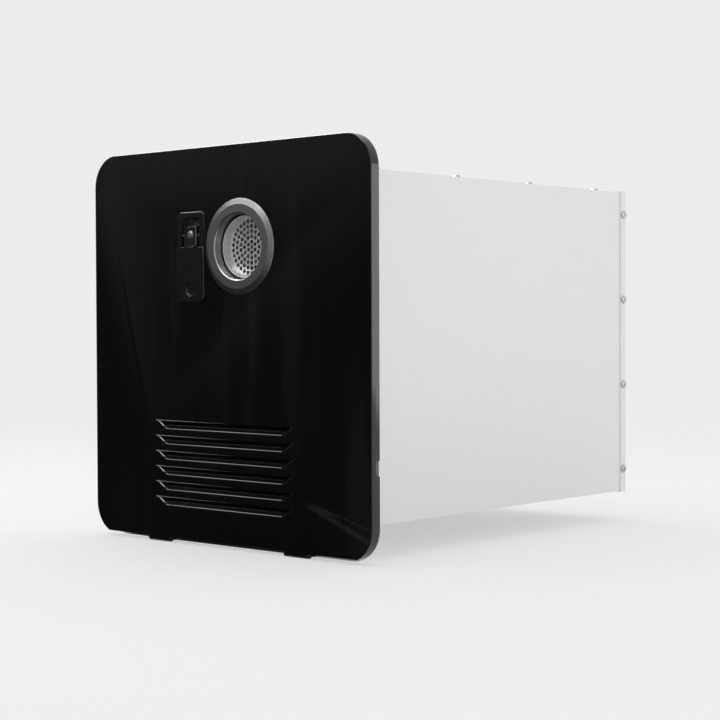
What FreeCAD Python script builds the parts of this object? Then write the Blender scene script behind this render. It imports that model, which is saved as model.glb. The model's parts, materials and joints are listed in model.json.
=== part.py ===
"""Recess-mounted gas water heater for a camper wall.

Millimetres. +Z up, the outer door faces -Y, the cabinet runs back along +Y.
Origin: middle of the wall cut-out, on the face of the mounting frame that lies on the wall.
"""

import FreeCAD, Part
import math
import os
from FreeCAD import Vector

# Cabinet
cabinet_width = 324.0
cabinet_height = 328.0
cabinet_depth = 443.5  # wall face to the outside of the rear panel
cabinet_sheet = 1.0
top_lip = 14.0  # inward lip of each side wall, under the top cover
rear_lap = 10.0  # how far the rear pan laps over the walls
service_depth = 58.0  # free bay between the wall face and the burner

# Mounting frame
frame_sheet = 1.2
frame_reach = 27.0  # past the cabinet's sides
frame_reach_top = 27.5
frame_lip = 0.5  # the frame's lower edge, past the door's full outline
frame_corner = 33.0
frame_collar = 26.0  # the frame's return inside the cabinet
wall_hole_radius = 2.4
wall_hole_edge = 11.0  # hole centre from the frame's edge
wall_hole_rise = 150.0

# Door
door_overlap = 28.5  # past the cabinet at each side
door_overlap_height = 30.3  # above and below
door_depth = 10.7
door_sheet = 1.0
door_corner = 32.0
door_edge = 0.9  # rounding of the front edge
door_cut = 3.0  # taken off the bottom of the round outline
door_gap = 0.8  # between the door's rear edge and the frame
pry_notch_height = 14.4
pry_notch_depth = 5.6
pry_notch_z = -108.1

# Louvres
louvre_count = 6
louvre_x = -2.2
louvre_pitch = 15.3
louvre_width = 185.5  # at the cut upper edge
louvre_foot = 158.5  # at the lower bend
louvre_height = 8.2
louvre_depth = 6.0
louvre_bend = 3.0  # radius of the folds
louvre_corner = 4.0  # radius where the blade meets its ends
louvre_margin = 8.0  # flat sheet pressed with each louvre, past its corners
louvre_rise = 43.2  # lowest cut edge above the door's full outline

# Door hinge
hinge_spread = 190.0
knuckle_length = 28.0
knuckle_radius = 2.6
hinge_pin_radius = 1.3
hinge_ear = 1.2
hinge_side_gap = 0.4
hinge_ear_radius = 2.2
pin_clearance = 0.05
hinge_drop = 2.2  # hinge axis below the door's cut edge

# Exhaust
exhaust_x = 23.0
exhaust_drop = 68.1  # centre below the cabinet's top
exhaust_radius = 30.0
exhaust_wall = 1.0
exhaust_recess = 6.6  # tube rim behind the door's front
guard_recess = 9.9  # disc behind the rim
guard_sheet = 1.0
guard_skirt = 6.0
guard_rings = 5
guard_ring_pitch = 5.05
guard_hole_radius = 1.95
collar_radius = 46.2
collar_face_radius = 40.7
collar_height = 3.0
collar_lip = 1.0  # bevel at the collar's mouth
collar_rim = 0.6
collar_gap = 1.6  # between the tube and the collar's bore
collar_wall = 1.4
collar_sleeve = 8.0  # behind the door's front

# Latch
latch_x = -44.0
latch_drop = 8.4  # latch centre below the exhaust's
latch_width = 39.0
latch_height = 88.5
latch_corner = 6.0
latch_bezel = 1.6
latch_tray = 0.6
pocket_width = 23.4
pocket_rim = 5.8  # bezel above the pocket
lever_length = 54.1
lever_front = 2.6
lever_sheet = 1.8
lever_gap = 0.9
neck_width = 17.7
neck_rise = 20.1  # neck above the lever plate
pivot_below_neck = 8.5
latch_pin_radius = 1.5
dimple_radius = 6.6
dimple_rise = 12.4
hook_reach = 17.2  # pivot to the front of the hook's nose
hook_width = 10.0
clip_sheet = 0.6
spring_width = 25.0  # closes the pocket's back
spring_sheet = 0.5

# Burner, heat exchanger and fan
left_bay = 76.0
right_bay = 66.0
fan_bay = 150.0
rail_height = 14.0
plenum_height = 38.0
exchanger_height = 80.0
hood_gap = 7.0  # exchanger's top below the exhaust tube
hood_top_gap = 10.0
wall_thickness = 1.0
fin_count = 16
fin_sheet = 0.5
coil_radius = 8.0
tube_clearance = 0.1  # round a tube in a sheet
coil_runs = 4
coil_stub = 4.0  # from the shaft's wall to a return header
header_depth = 9.0
burner_bars_count = 8
bar_width = 14.0
bar_strip = 5.0
bar_sheet = 0.8
nozzle_radius = 3.0

fan_width = 56.0
fan_wheel_radius = 40.0
fan_behind = 72.0  # fan's axis behind the burner
fan_rise = 64.0  # fan's axis above the air box's foot
fan_blades = 24
scroll_gap = 8.0  # round the wheel at the cut-off
scroll_growth = 6.0
fan_shaft_radius = 3.0
motor_radius = 27.0
motor_length = 42.0

# Pipes and fittings
water_pipe_radius = 6.35
gas_pipe_radius = 4.8
feed_radius = 4.0
pipe_inset = 36.0  # middle of the pipes from the inside of the side walls
water_thread_radius = 10.5
gas_thread_radius = 7.9
thread_length = 20.0
shoulder_radius = 12.0  # through the panel and its nut
fitting_wall = 3.0
nut_radius = 16.0
nut_thickness = 6.0
gland_radius = 6.0
gland_bore = 3.5
gland_reach = 14.0
cold_rise = 38.0  # cold water line above the cabinet's floor
hot_drop = 12.0  # hot water line below the exchanger's top
gas_rise = 43.0
gland_z = 60.0

# Controls
control_width = 52.0
control_height = 120.0
control_depth = 170.0
control_wall = 2.0
rocker_width = 13.0
rocker_height = 19.0
rocker_axle = 3.0  # behind the control box's front
rocker_swing = 17.0  # degrees between its two positions
switch_depth = 20.0
switch_drop = 26.0  # switch's middle below the control box's top
board_sheet = 1.6
board_standoff = 10.0

# Screws
screw_head = 4.4
screw_head_height = 2.3
screw_radius = 1.9
screw_length = 7.0
cover_screw_count = 4  # along each side
cover_screw_first = 33.7
cover_screw_last = 50.1  # from the outside of the rear panel
cover_screw_inset = 7.0
back_screw_pitch = 93.1
back_screw_inset = 5.0

# Worked out
half_width = cabinet_width / 2
half_height = cabinet_height / 2
inner_x = half_width - cabinet_sheet
inner_bottom = -half_height + cabinet_sheet
inner_top = half_height - 2 * cabinet_sheet
inner_rear = cabinet_depth - cabinet_sheet
door_half_width = half_width + door_overlap
door_half_height = half_height + door_overlap_height
door_bottom = -door_half_height + door_cut
door_rear = -frame_sheet - door_gap
door_front = door_rear - door_depth
hinge_y = door_front + knuckle_radius
hinge_z = door_bottom - hinge_drop
exhaust_z = half_height - exhaust_drop
water_x = inner_x - pipe_inset
gas_x = -inner_x + pipe_inset
gas_z = inner_bottom + gas_rise
collar_bore = exhaust_radius + collar_gap
collar_sleeve_radius = collar_bore + collar_wall
latch_z = exhaust_z - latch_drop
latch_bottom = latch_z - latch_height / 2
lever_top = latch_bottom + lever_length
pivot_y = door_front + door_sheet
pivot_z = lever_top + neck_rise - pivot_below_neck
pocket_top = latch_z + latch_height / 2 - pocket_rim
pocket_bottom = lever_top + lever_gap
burner_x0 = -inner_x + left_bay
burner_x1 = inner_x - right_bay
burner_y0 = service_depth + 12.0
burner_y1 = inner_rear - fan_bay
plenum_bottom = inner_bottom + rail_height
burner_bottom = plenum_bottom + plenum_height
exchanger_top = exhaust_z - exhaust_radius - hood_gap
exchanger_bottom = exchanger_top - exchanger_height


def block(x0, x1, y0, y1, z0, z1):
    """A rectangular solid between two opposite corners."""
    return Part.makeBox(x1 - x0, y1 - y0, z1 - z0, Vector(x0, y0, z0))


def rod(start, direction, radius, length):
    """A round bar."""
    return Part.makeCylinder(radius, length, Vector(*start), Vector(*direction))


def ring(start, direction, outer, inner, length):
    """A round tube."""
    return rod(start, direction, outer, length).cut(rod(start, direction, inner, length))


def rounded_slab(x0, x1, z0, z1, radius, y0, y1):
    """An upright slab from y0 to y1 whose outline is a rectangle with four round corners."""
    centres = [(x1 - radius, z1 - radius), (x0 + radius, z1 - radius),
               (x0 + radius, z0 + radius), (x1 - radius, z0 + radius)]
    arcs = []
    for quarter, (cx, cz) in enumerate(centres):
        turns = [math.radians(90 * quarter + step) for step in (0, 45, 90)]
        arcs.append([Vector(cx + radius * math.cos(t), y0, cz + radius * math.sin(t)) for t in turns])
    edges = []
    for index, arc in enumerate(arcs):
        edges.append(Part.Arc(*arc).toShape())
        edges.append(Part.makeLine(arc[2], arcs[(index + 1) % 4][0]))
    return Part.Face(Part.Wire(edges)).extrude(Vector(0, y1 - y0, 0))


def prism_x(outline, x0, x1):
    """A polygon of (y, z) points, extruded along X."""
    points = [Vector(x0, y, z) for y, z in outline]
    face = Part.Face(Part.makePolygon(points + points[:1]))
    return face.extrude(Vector(x1 - x0, 0, 0))


def strip_x(path, sheet, x0, x1):
    """A bent strip: the (y, z) path thickened by the sheet on its left-hand side."""
    sides = []
    for (ya, za), (yb, zb) in zip(path, path[1:]):
        run = math.hypot(yb - ya, zb - za)
        sides.append((-(zb - za) / run, (yb - ya) / run))
    offset = []
    for index, (y, z) in enumerate(path):
        before = sides[max(index - 1, 0)]
        after = sides[min(index, len(sides) - 1)]
        share = sheet / (1 + before[0] * after[0] + before[1] * after[1])
        offset.append((y + (before[0] + after[0]) * share, z + (before[1] + after[1]) * share))
    return prism_x(path + offset[::-1], x0, x1)


def turned(profile, base, axis):
    """A closed profile of (radius, distance along the axis), turned about an axis through base."""
    points = [Vector(radius, 0, along) for radius, along in profile]
    solid = Part.Face(Part.makePolygon(points + points[:1])).revolve(Vector(), Vector(0, 0, 1), 360)
    solid.Placement = FreeCAD.Placement(Vector(*base), FreeCAD.Rotation(Vector(0, 0, 1), Vector(*axis)))
    return solid


def hexagon(start, direction, radius, length):
    """A six-sided bar with its corners on the radius."""
    points = [Vector(radius * math.cos(math.radians(60 * k)), radius * math.sin(math.radians(60 * k)), 0)
              for k in range(6)]
    bar = Part.Face(Part.makePolygon(points + points[:1])).extrude(Vector(0, 0, length))
    bar.Placement = FreeCAD.Placement(Vector(*start), FreeCAD.Rotation(Vector(0, 0, 1), Vector(*direction)))
    return bar


def bent_pipe(points, radius, bend):
    """A round pipe along straight runs joined by tangent bends."""
    corners = [Vector(*point) for point in points]
    edges = []
    start = corners[0]
    for before, corner, after in zip(corners, corners[1:], corners[2:]):
        arriving = (corner - before).normalize()
        leaving = (after - corner).normalize()
        turn = math.acos(max(-1.0, min(1.0, arriving.dot(leaving))))
        setback = bend * math.tan(turn / 2)
        first = corner - arriving * setback
        last = corner + leaving * setback
        inward = (leaving - arriving).normalize()
        middle = corner + inward * (bend / math.cos(turn / 2) - bend)
        edges.append(Part.makeLine(start, first))
        edges.append(Part.Arc(first, middle, last).toShape())
        start = last
    edges.append(Part.makeLine(start, corners[-1]))
    section = Part.Wire(Part.makeCircle(radius, corners[0], (corners[1] - corners[0]).normalize()))
    return Part.Wire(edges).makePipeShell([section], True, False)


def group(solids):
    """Separate solids kept together under one name."""
    return Part.makeCompound(solids)


def mirrored_pair(solid):
    """A solid and its mirror image across the middle plane."""
    return [solid, solid.mirror(Vector(), Vector(1, 0, 0))]


def mounting_frame():
    """The picture frame on the wall, its collar into the cabinet, its ears and its lower lip."""
    x = half_width + frame_reach
    top = half_height + frame_reach_top
    plate = rounded_slab(-x, x, -door_half_height - frame_lip, top, frame_corner, -frame_sheet, 0)
    window_x = inner_x - frame_sheet
    window_z0 = inner_bottom + frame_sheet
    window_z1 = inner_top - frame_sheet
    collar = block(-inner_x, inner_x, -frame_sheet, frame_collar, inner_bottom, inner_top)
    frame = plate.fuse(collar).cut(block(-window_x, window_x, -10, frame_collar + 1, window_z0, window_z1))
    hole_x = x - wall_hole_edge
    for side in (-1, 1):
        for z in (-wall_hole_rise, 0, wall_hole_rise):
            frame = frame.cut(rod((side * hole_x, -5, z), (0, 1, 0), wall_hole_radius, 10))
    for ear_x in ear_places():
        ear = rod((ear_x, hinge_y, hinge_z), (1, 0, 0), hinge_ear_radius, hinge_ear)
        arm = block(ear_x, ear_x + hinge_ear, hinge_y, -frame_sheet, hinge_z - 1.2, hinge_z + hinge_ear_radius)
        bore = rod((ear_x - 1, hinge_y, hinge_z), (1, 0, 0), hinge_pin_radius, hinge_ear + 2)
        frame = frame.fuse(ear.fuse(arm).cut(bore))
    return frame.removeSplitter()


def ear_places():
    """Where each hinge ear starts along X."""
    half = knuckle_length / 2 + hinge_side_gap
    places = []
    for centre in (-hinge_spread / 2, hinge_spread / 2):
        places += [centre - half - hinge_ear, centre + half]
    return places


def hinge_pins():
    """A headed pin through each hinge tab and its two ears."""
    reach = knuckle_length / 2 + hinge_side_gap + hinge_ear
    pins = []
    for centre in (-hinge_spread / 2, hinge_spread / 2):
        pin = rod((centre - reach, hinge_y, hinge_z), (1, 0, 0), hinge_pin_radius, 2 * reach)
        head = rod((centre + reach, hinge_y, hinge_z), (1, 0, 0), hinge_ear_radius, 1.0)
        pins.append(pin.fuse(head).removeSplitter())
    return group(pins)


def door_seal():
    """The foam strip on the frame that the door closes against, 0.3 mm short of the door's sheet."""
    front = door_front + door_sheet + 0.3
    x = half_width + 7.5
    z = half_height + 5.5
    outer = rounded_slab(-x, x, -z, z, 12, front, -frame_sheet)
    return outer.cut(rounded_slab(-x + 6, x - 6, -z + 6, z - 6, 6, front - 1, 0))


def cabinet_wrap():
    """Both side walls and the floor, bent from one sheet, with a lip along each wall's top."""
    rear = inner_rear
    floor = block(-half_width, half_width, 0, rear, -half_height, inner_bottom)
    wall = block(inner_x, half_width, 0, rear, -half_height, inner_top + cabinet_sheet)
    lip = block(half_width - top_lip, half_width, 0, rear, inner_top, inner_top + cabinet_sheet)
    wrap = floor
    for piece in mirrored_pair(wall) + mirrored_pair(lip):
        wrap = wrap.fuse(piece)
    wrap = wrap.removeSplitter()
    for x, y, z, direction in cover_screw_places() + back_screw_places():
        start = Vector(x, y, z) - Vector(*direction) * 8
        wrap = wrap.cut(rod(tuple(start), direction, screw_radius, 8))
    return wrap


def top_cover():
    """The sheet that closes the cabinet's top, screwed to the walls' lips."""
    cover = block(-half_width, half_width, 0, inner_rear, half_height - cabinet_sheet, half_height)
    for x, y, z, direction in cover_screw_places():
        cover = cover.cut(rod((x, y, z + 1), (0, 0, -1), screw_radius, 8))
    return cover


def cover_screw_places():
    """Head seat and outward direction of each screw in the top cover."""
    places = []
    pitch = (cabinet_depth - cover_screw_first - cover_screw_last) / (cover_screw_count - 1)
    for side in (-1, 1):
        for index in range(cover_screw_count):
            y = cover_screw_first + index * pitch
            places.append((side * (half_width - cover_screw_inset), y, half_height, (0, 0, 1)))
    return places


def back_screw_places():
    """Head seat and outward direction of each screw in the rear pan's side laps."""
    places = []
    for side in (-1, 1):
        for step in (-1.5, -0.5, 0.5, 1.5):
            z = step * back_screw_pitch
            places.append((side * (half_width + cabinet_sheet), cabinet_depth - back_screw_inset, z, (side, 0, 0)))
    return places


def screws(places, length):
    """One pan-head screw at each place, as a group."""
    profile = [(0, screw_head_height), (screw_head * 0.62, screw_head_height), (screw_head, 1.0), (screw_head, 0),
               (screw_radius, 0), (screw_radius, -length), (0, -length)]
    return group([turned(profile, (x, y, z), direction) for x, y, z, direction in places])


def pipe_exits():
    """Where pipes and the cable leave through the rear panel: x, z and hole radius."""
    return [(water_x, cold_z(), shoulder_radius), (water_x, hot_z(), shoulder_radius),
            (gas_x, gas_z, shoulder_radius), (gas_x, gland_z, gland_radius)]


def cold_z():
    """Height of the cold water line."""
    return inner_bottom + cold_rise


def hot_z():
    """Height of the hot water line, level with the exchanger's upper run."""
    return exchanger_top - hot_drop


def back_panel():
    """The rear pan, whose four laps cover the ends of the walls and of the top cover."""
    front = cabinet_depth - rear_lap
    out_x = half_width + cabinet_sheet
    out_z = half_height + cabinet_sheet
    pan = block(-out_x, out_x, front, cabinet_depth, -out_z, out_z)
    pan = pan.cut(block(-half_width, half_width, front - 1, inner_rear, -half_height, half_height))
    for x, y, z, direction in back_screw_places():
        pan = pan.cut(rod((x + direction[0], y, z), (-direction[0], 0, 0), screw_radius, 8))
    for x, z, radius in pipe_exits():
        pan = pan.cut(rod((x, inner_rear - 1, z), (0, 1, 0), radius, 4))
    return pan


def upper_bulkhead():
    """The inner plate round the exhaust, with a bent lip all round, held by the frame's collar."""
    reach = inner_x - frame_sheet
    top = inner_top - frame_sheet
    bottom = exhaust_z - 56.0
    face = 14.0
    pan = block(-reach, reach, face, frame_collar, bottom, top)
    pan = pan.cut(block(-reach + 1, reach - 1, face + 1, frame_collar + 1, bottom + 1, top - 1))
    return pan.cut(rod((exhaust_x, face - 1, exhaust_z), (0, 1, 0), exhaust_radius + 0.3, 4))


def keeper_clip():
    """A spring clip on the bulkhead; its lip hangs in front of the hook's nose."""
    lip = pivot_y + hook_reach - 0.3 - clip_sheet
    path = [(14.0, pivot_z + 26), (14.0, pivot_z + 12), (lip + 2.5, pivot_z + 9), (lip, pivot_z + 6.5),
            (lip, pivot_z + 3.2), (lip - 2.5, pivot_z + 1.4)]
    return strip_x(path[::-1], clip_sheet, latch_x - 6, latch_x + 6)


def exhaust_tube():
    """The outlet tube with the flange that bolts to the flue hood."""
    rim = door_front + exhaust_recess
    rear = burner_y0 - 1.5
    inner = exhaust_radius - exhaust_wall
    profile = [(inner, 0), (exhaust_radius, 0), (exhaust_radius, rear - rim - 1.5), (exhaust_radius + 9, rear - rim - 1.5),
               (exhaust_radius + 9, rear - rim), (inner, rear - rim)]
    return turned(profile, (exhaust_x, rim, exhaust_z), (0, 1, 0))


def exhaust_guard():
    """The perforated cup pressed into the outlet tube: rings of holes round one in the middle."""
    face = door_front + exhaust_recess + guard_recess
    outer = exhaust_radius - exhaust_wall - pin_clearance
    cup = rod((exhaust_x, face, exhaust_z), (0, 1, 0), outer, guard_skirt)
    cup = cup.cut(rod((exhaust_x, face + guard_sheet, exhaust_z), (0, 1, 0), outer - guard_sheet, guard_skirt))
    cutters = []
    for ring_index in range(guard_rings + 1):
        holes = max(1, 6 * ring_index)
        for hole in range(holes):
            turn = math.radians(90 + 360 * hole / holes)
            x = exhaust_x + guard_ring_pitch * ring_index * math.cos(turn)
            z = exhaust_z + guard_ring_pitch * ring_index * math.sin(turn)
            cutters.append(rod((x, face - 1, z), (0, 1, 0), guard_hole_radius, guard_sheet + 2))
    return cup.cut(Part.makeCompound(cutters))


def exhaust_gasket():
    """The ring between the outlet tube's flange and the hood."""
    return ring((exhaust_x, burner_y0 - 1.5, exhaust_z), (0, 1, 0), exhaust_radius + 9, exhaust_radius, 1.5)


def flue_hood():
    """The sheet hood on the heat exchanger, open below, with its outlet in front."""
    top = inner_top - hood_top_gap
    slope_start = burner_y0 + 110.0
    low = exchanger_top + 22.0
    outer = prism_x([(burner_y0, exchanger_top), (burner_y1, exchanger_top), (burner_y1, low), (slope_start, top),
                     (burner_y0, top)], burner_x0, burner_x1)
    t = wall_thickness
    inner = prism_x([(burner_y0 + t, exchanger_top - 1), (burner_y1 - t, exchanger_top - 1), (burner_y1 - t, low - t),
                     (slope_start - t, top - t), (burner_y0 + t, top - t)], burner_x0 + t, burner_x1 - t)
    outlet = rod((exhaust_x, burner_y0 - 1, exhaust_z), (0, 1, 0), exhaust_radius - exhaust_wall, 4)
    return outer.cut(inner).cut(outlet)


def coil_places():
    """Where the exchanger's straight runs lie, front to back."""
    span = burner_y1 - burner_y0
    return [burner_y0 + span * (k + 0.5) / coil_runs for k in range(coil_runs)]


def coil_z():
    """Height of the exchanger's runs."""
    return exchanger_bottom + 26.0


def exchanger_shell():
    """The copper shaft round the fins, with a flange at its foot."""
    t = wall_thickness
    shaft = block(burner_x0, burner_x1, burner_y0, burner_y1, exchanger_bottom, exchanger_top)
    shaft = shaft.cut(block(burner_x0 + t, burner_x1 - t, burner_y0 + t, burner_y1 - t, exchanger_bottom - 1,
                            exchanger_top + 1))
    for y in coil_places():
        shaft = shaft.cut(rod((burner_x0 - 1, y, coil_z()), (1, 0, 0), coil_radius + tube_clearance,
                              burner_x1 - burner_x0 + 2))
    return shaft.removeSplitter()


def exchanger_fins():
    """Thin plates across the flue, notched to sit on the water runs."""
    t = wall_thickness
    fins = []
    pitch = (burner_x1 - burner_x0 - 2 * t) / (fin_count + 1)
    for index in range(fin_count):
        x = burner_x0 + t + pitch * (index + 1)
        outline = [(burner_y0 + t, exchanger_top - 4), (burner_y0 + t, coil_z())]
        for y in coil_places():
            outline += [(y - coil_radius, coil_z()), (y - coil_radius, coil_z() + coil_radius),
                        (y + coil_radius, coil_z() + coil_radius), (y + coil_radius, coil_z())]
        outline += [(burner_y1 - t, coil_z()), (burner_y1 - t, exchanger_top - 4)]
        fins.append(prism_x(outline, x, x + fin_sheet))
    return group(fins)


def exchanger_coil():
    """One water path: straight runs through the shaft, joined by return headers outside it."""
    places = coil_places()
    pieces = [rod((burner_x0 - coil_stub, y, coil_z()), (1, 0, 0), coil_radius, burner_x1 - burner_x0 + 2 * coil_stub)
              for y in places]
    for index in range(coil_runs - 1):
        x = burner_x1 + coil_stub if index % 2 else burner_x0 - coil_stub - header_depth
        for y in places[index:index + 2]:
            pieces.append(rod((x, y, coil_z()), (1, 0, 0), coil_radius, header_depth))
        pieces.append(block(x, x + header_depth, places[index], places[index + 1], coil_z() - coil_radius,
                            coil_z() + coil_radius))
    return pieces[0].fuse(pieces[1:]).removeSplitter()


def burner_box():
    """The steel box below the exchanger, open above and below, with a hole for each nozzle."""
    t = wall_thickness
    box = block(burner_x0, burner_x1, burner_y0, burner_y1, burner_bottom, exchanger_bottom)
    box = box.cut(block(burner_x0 + t, burner_x1 - t, burner_y0 + t, burner_y1 - t, burner_bottom - 1,
                        exchanger_bottom + 1))
    for x in bar_places():
        box = box.cut(rod((x, burner_y0 - 1, burner_bottom + 16), (0, 1, 0), nozzle_radius, 4))
    for x in electrode_places():
        box = box.cut(rod((x, burner_y0 - 1, burner_bottom + 44), (0, 1, 0), 3.0, 4))
    return box


def bar_places():
    """Middle of each burner bar along X."""
    span = burner_x1 - burner_x0
    return [burner_x0 + span * (k + 0.5) / burner_bars_count for k in range(burner_bars_count)]


def bar_outline(x, y, inset):
    """A burner bar's section: straight sides, sloped shoulders and a narrow flame strip on top."""
    half = bar_width / 2 - inset
    strip = bar_strip / 2 - inset
    foot = burner_bottom + 4 + inset
    shoulder = burner_bottom + 26
    top = burner_bottom + 34 - inset
    points = [Vector(x - half, y, foot), Vector(x + half, y, foot), Vector(x + half, y, shoulder),
              Vector(x + strip, y, top), Vector(x - strip, y, top), Vector(x - half, y, shoulder)]
    return Part.Face(Part.makePolygon(points + points[:1]))


def burner_bars():
    """Blade burners side by side, folded from sheet, open at the rear and along the flame strip."""
    front = burner_y0 + 8
    length = burner_y1 - wall_thickness - front
    bars = []
    for x in bar_places():
        bar = bar_outline(x, front, 0).extrude(Vector(0, length, 0))
        bar = bar.cut(bar_outline(x, front + bar_sheet, bar_sheet).extrude(Vector(0, length, 0)))
        bars.append(bar.cut(block(x - 0.6, x + 0.6, front + 6, front + length - 6, burner_bottom + 30,
                                  burner_bottom + 35)))
    return group(bars)


def gas_manifold():
    """The square rail in front of the burner, with a nozzle into each bar."""
    z = burner_bottom + 16
    x0 = bar_places()[0] - 10
    rail = block(x0, bar_places()[-1] + 10, burner_y0 - 18, burner_y0 - 4, z - 7, z + 7)
    for x in bar_places():
        rail = rail.fuse(rod((x, burner_y0 - 5, z), (0, 1, 0), nozzle_radius - 0.2, 12))
        rail = rail.fuse(hexagon((x, burner_y0 - 4, z), (0, 1, 0), 5.0, 4))
    return rail.removeSplitter()


def electrode_places():
    """Middle of the spark and flame electrodes along X."""
    middle = (burner_x0 + burner_x1) / 2
    return [middle - 12, middle + 12, middle + 40]


def spark_electrodes():
    """Two spark rods and a flame rod, each in its ceramic."""
    z = burner_bottom + 44
    pieces = []
    for x in electrode_places():
        ceramic = rod((x, burner_y0 - 14, z), (0, 1, 0), 2.8, 24)
        collar = rod((x, burner_y0 - 3, z), (0, 1, 0), 5.0, 3)
        wire = rod((x, burner_y0 + 9, z), (0, 1, 0), 1.0, 22)
        pieces.append(ceramic.fuse(collar).fuse(wire).removeSplitter())
    return group(pieces)


def air_plenum():
    """The air box that the burner stands on, open to the fan behind and to the bars above."""
    t = wall_thickness
    box = block(burner_x0, burner_x1, burner_y0, burner_y1, plenum_bottom, burner_bottom)
    box = box.cut(block(burner_x0 + t, burner_x1 - t, burner_y0 + t, burner_y1 - t, plenum_bottom + t,
                        burner_bottom + 1))
    mouth_x = fan_middle()
    mouth = block(mouth_x - fan_width / 2 + 2, mouth_x + fan_width / 2 - 2, burner_y1 - 4, burner_y1 + 1,
                  plenum_bottom + 3, burner_bottom - 3)
    return box.cut(mouth)


def base_rails():
    """Two folded rails between the cabinet's floor and the air box."""
    rails = []
    for x in (burner_x0 + 14, burner_x1 - 34):
        rail = block(x, x + 20, burner_y0, burner_y1, inner_bottom, plenum_bottom)
        rails.append(rail.cut(block(x + 1.5, x + 21, burner_y0 - 1, burner_y1 + 1, inner_bottom + 1.5,
                                    plenum_bottom - 1.5)))
    return group(rails)


def fan_middle():
    """Middle of the fan along X."""
    return (burner_x0 + burner_x1) / 2


def fan_axis():
    """Height and depth of the fan's axis."""
    return burner_y1 + fan_behind, plenum_bottom + fan_rise


def scroll_outline(x, shrink):
    """The scroll's outline: three quarter arcs that grow towards the outlet, then the outlet's duct."""
    y, z = fan_axis()
    near = fan_wheel_radius + scroll_gap - shrink
    far = fan_wheel_radius + scroll_gap + scroll_growth - shrink
    bottom = plenum_bottom + shrink
    lift = burner_bottom - shrink
    diagonal = math.sqrt(0.5)
    front, top, rear = Vector(x, y - near, z), Vector(x, y, z + near), Vector(x, y + far, z)
    foot, mouth_foot = Vector(x, y, bottom), Vector(x, burner_y1, bottom)
    mouth_top, step = Vector(x, burner_y1, lift), Vector(x, y - near, lift)
    front_arc = Part.Arc(front, Vector(x, y - near * diagonal, z + near * diagonal), top).toShape()
    top_arc = Part.Arc(top, Vector(x, y + 0.72 * far, z + 0.70 * near), rear).toShape()
    rear_arc = Part.Arc(rear, Vector(x, y + 0.72 * far, z - 0.72 * (z - bottom)), foot).toShape()
    lines = [Part.makeLine(start, end) for start, end in
             ((foot, mouth_foot), (mouth_foot, mouth_top), (mouth_top, step), (step, front))]
    return Part.Face(Part.Wire([front_arc, top_arc, rear_arc] + lines))


def fan_housing():
    """The fan's scroll, open at its outlet and at its inlet eye."""
    x0 = fan_middle() - fan_width / 2
    y, z = fan_axis()
    t = wall_thickness
    scroll = scroll_outline(x0, 0).extrude(Vector(fan_width, 0, 0))
    hollow = scroll_outline(x0 + t, t).extrude(Vector(fan_width - 2 * t, 0, 0))
    scroll = scroll.cut(hollow)
    scroll = scroll.cut(rod((x0 + fan_width - 4, y, z), (1, 0, 0), fan_wheel_radius - 8, 8))
    return scroll.cut(rod((x0 - 1, y, z), (1, 0, 0), fan_shaft_radius + 3, 4))


def fan_motor():
    """The motor on the scroll's side, with a bore for the wheel's shaft."""
    y, z = fan_axis()
    x1 = fan_middle() - fan_width / 2
    profile = [(fan_shaft_radius + pin_clearance, 0), (motor_radius, 0), (motor_radius, motor_length - 3),
               (motor_radius - 3, motor_length), (0, motor_length), (0, 22), (fan_shaft_radius + pin_clearance, 22)]
    return turned(profile, (x1, y, z), (-1, 0, 0))


def fan_shaft():
    """The shaft from the motor into the wheel's hub."""
    y, z = fan_axis()
    x1 = fan_middle() - fan_width / 2
    return rod((x1 - 21.5, y, z), (1, 0, 0), fan_shaft_radius, 21.5 + fan_width - 14)


def fan_wheel():
    """The squirrel-cage wheel: a back plate with its hub, the blades and the front ring."""
    y, z = fan_axis()
    x0 = fan_middle() - fan_width / 2 + 6
    x1 = fan_middle() + fan_width / 2 - 6
    plate = rod((x0, y, z), (1, 0, 0), fan_wheel_radius, 1.5)
    hub = rod((x0, y, z), (1, 0, 0), 8, 14)
    wheel = plate.fuse(hub).cut(rod((x0 - 1, y, z), (1, 0, 0), fan_shaft_radius, 20))
    rim = ring((x1 - 3, y, z), (1, 0, 0), fan_wheel_radius, fan_wheel_radius - 7, 3)
    blade = block(x0 + 1, x1 - 2, y - 0.5, y + 0.5, z + fan_wheel_radius - 7, z + fan_wheel_radius - 0.6)
    blade.rotate(Vector(x0, y, z + fan_wheel_radius - 4), Vector(1, 0, 0), 28)
    pieces = [rim]
    for index in range(fan_blades):
        copy = blade.copy()
        copy.rotate(Vector(x0, y, z), Vector(1, 0, 0), 360 * index / fan_blades)
        pieces.append(copy)
    return wheel.fuse(pieces).removeSplitter()


def valve_box():
    """Corners of the gas valve's body."""
    x0 = -inner_x + 8
    z0 = inner_bottom + 12
    return x0, x0 + 54, service_depth + 14, service_depth + 84, z0, z0 + 46


def gas_valve():
    """The valve's cast body with its inlet and outlet bosses."""
    x0, x1, y0, y1, z0, z1 = valve_box()
    body = block(x0, x1, y0, y1, z0, z1)
    body = body.makeChamfer(2.5, [edge for edge in body.Edges if edge.Length > 40])
    inlet = rod((gas_x, y1 - 1, gas_z), (0, 1, 0), 9, 9)
    regulator = turned([(0, 0), (16, 0), (16, 4), (10, 9), (0, 9)], ((x0 + x1) / 2, y0 + 22, z1), (0, 0, 1))
    return body.fuse(inlet).fuse(regulator).removeSplitter()


def gas_solenoids():
    """Two solenoid coils on the valve's front."""
    x0, x1, y0, y1, z0, z1 = valve_box()
    coils = []
    for z in (z0 + 12, z0 + 34):
        x = (x0 + x1) / 2
        coil = block(x - 9, x + 9, y0 - 20, y0, z - 9, z + 9)
        coils.append(coil.fuse(rod((x, y0 - 24, z), (0, 1, 0), 4, 4)))
    return group(coils)


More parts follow.
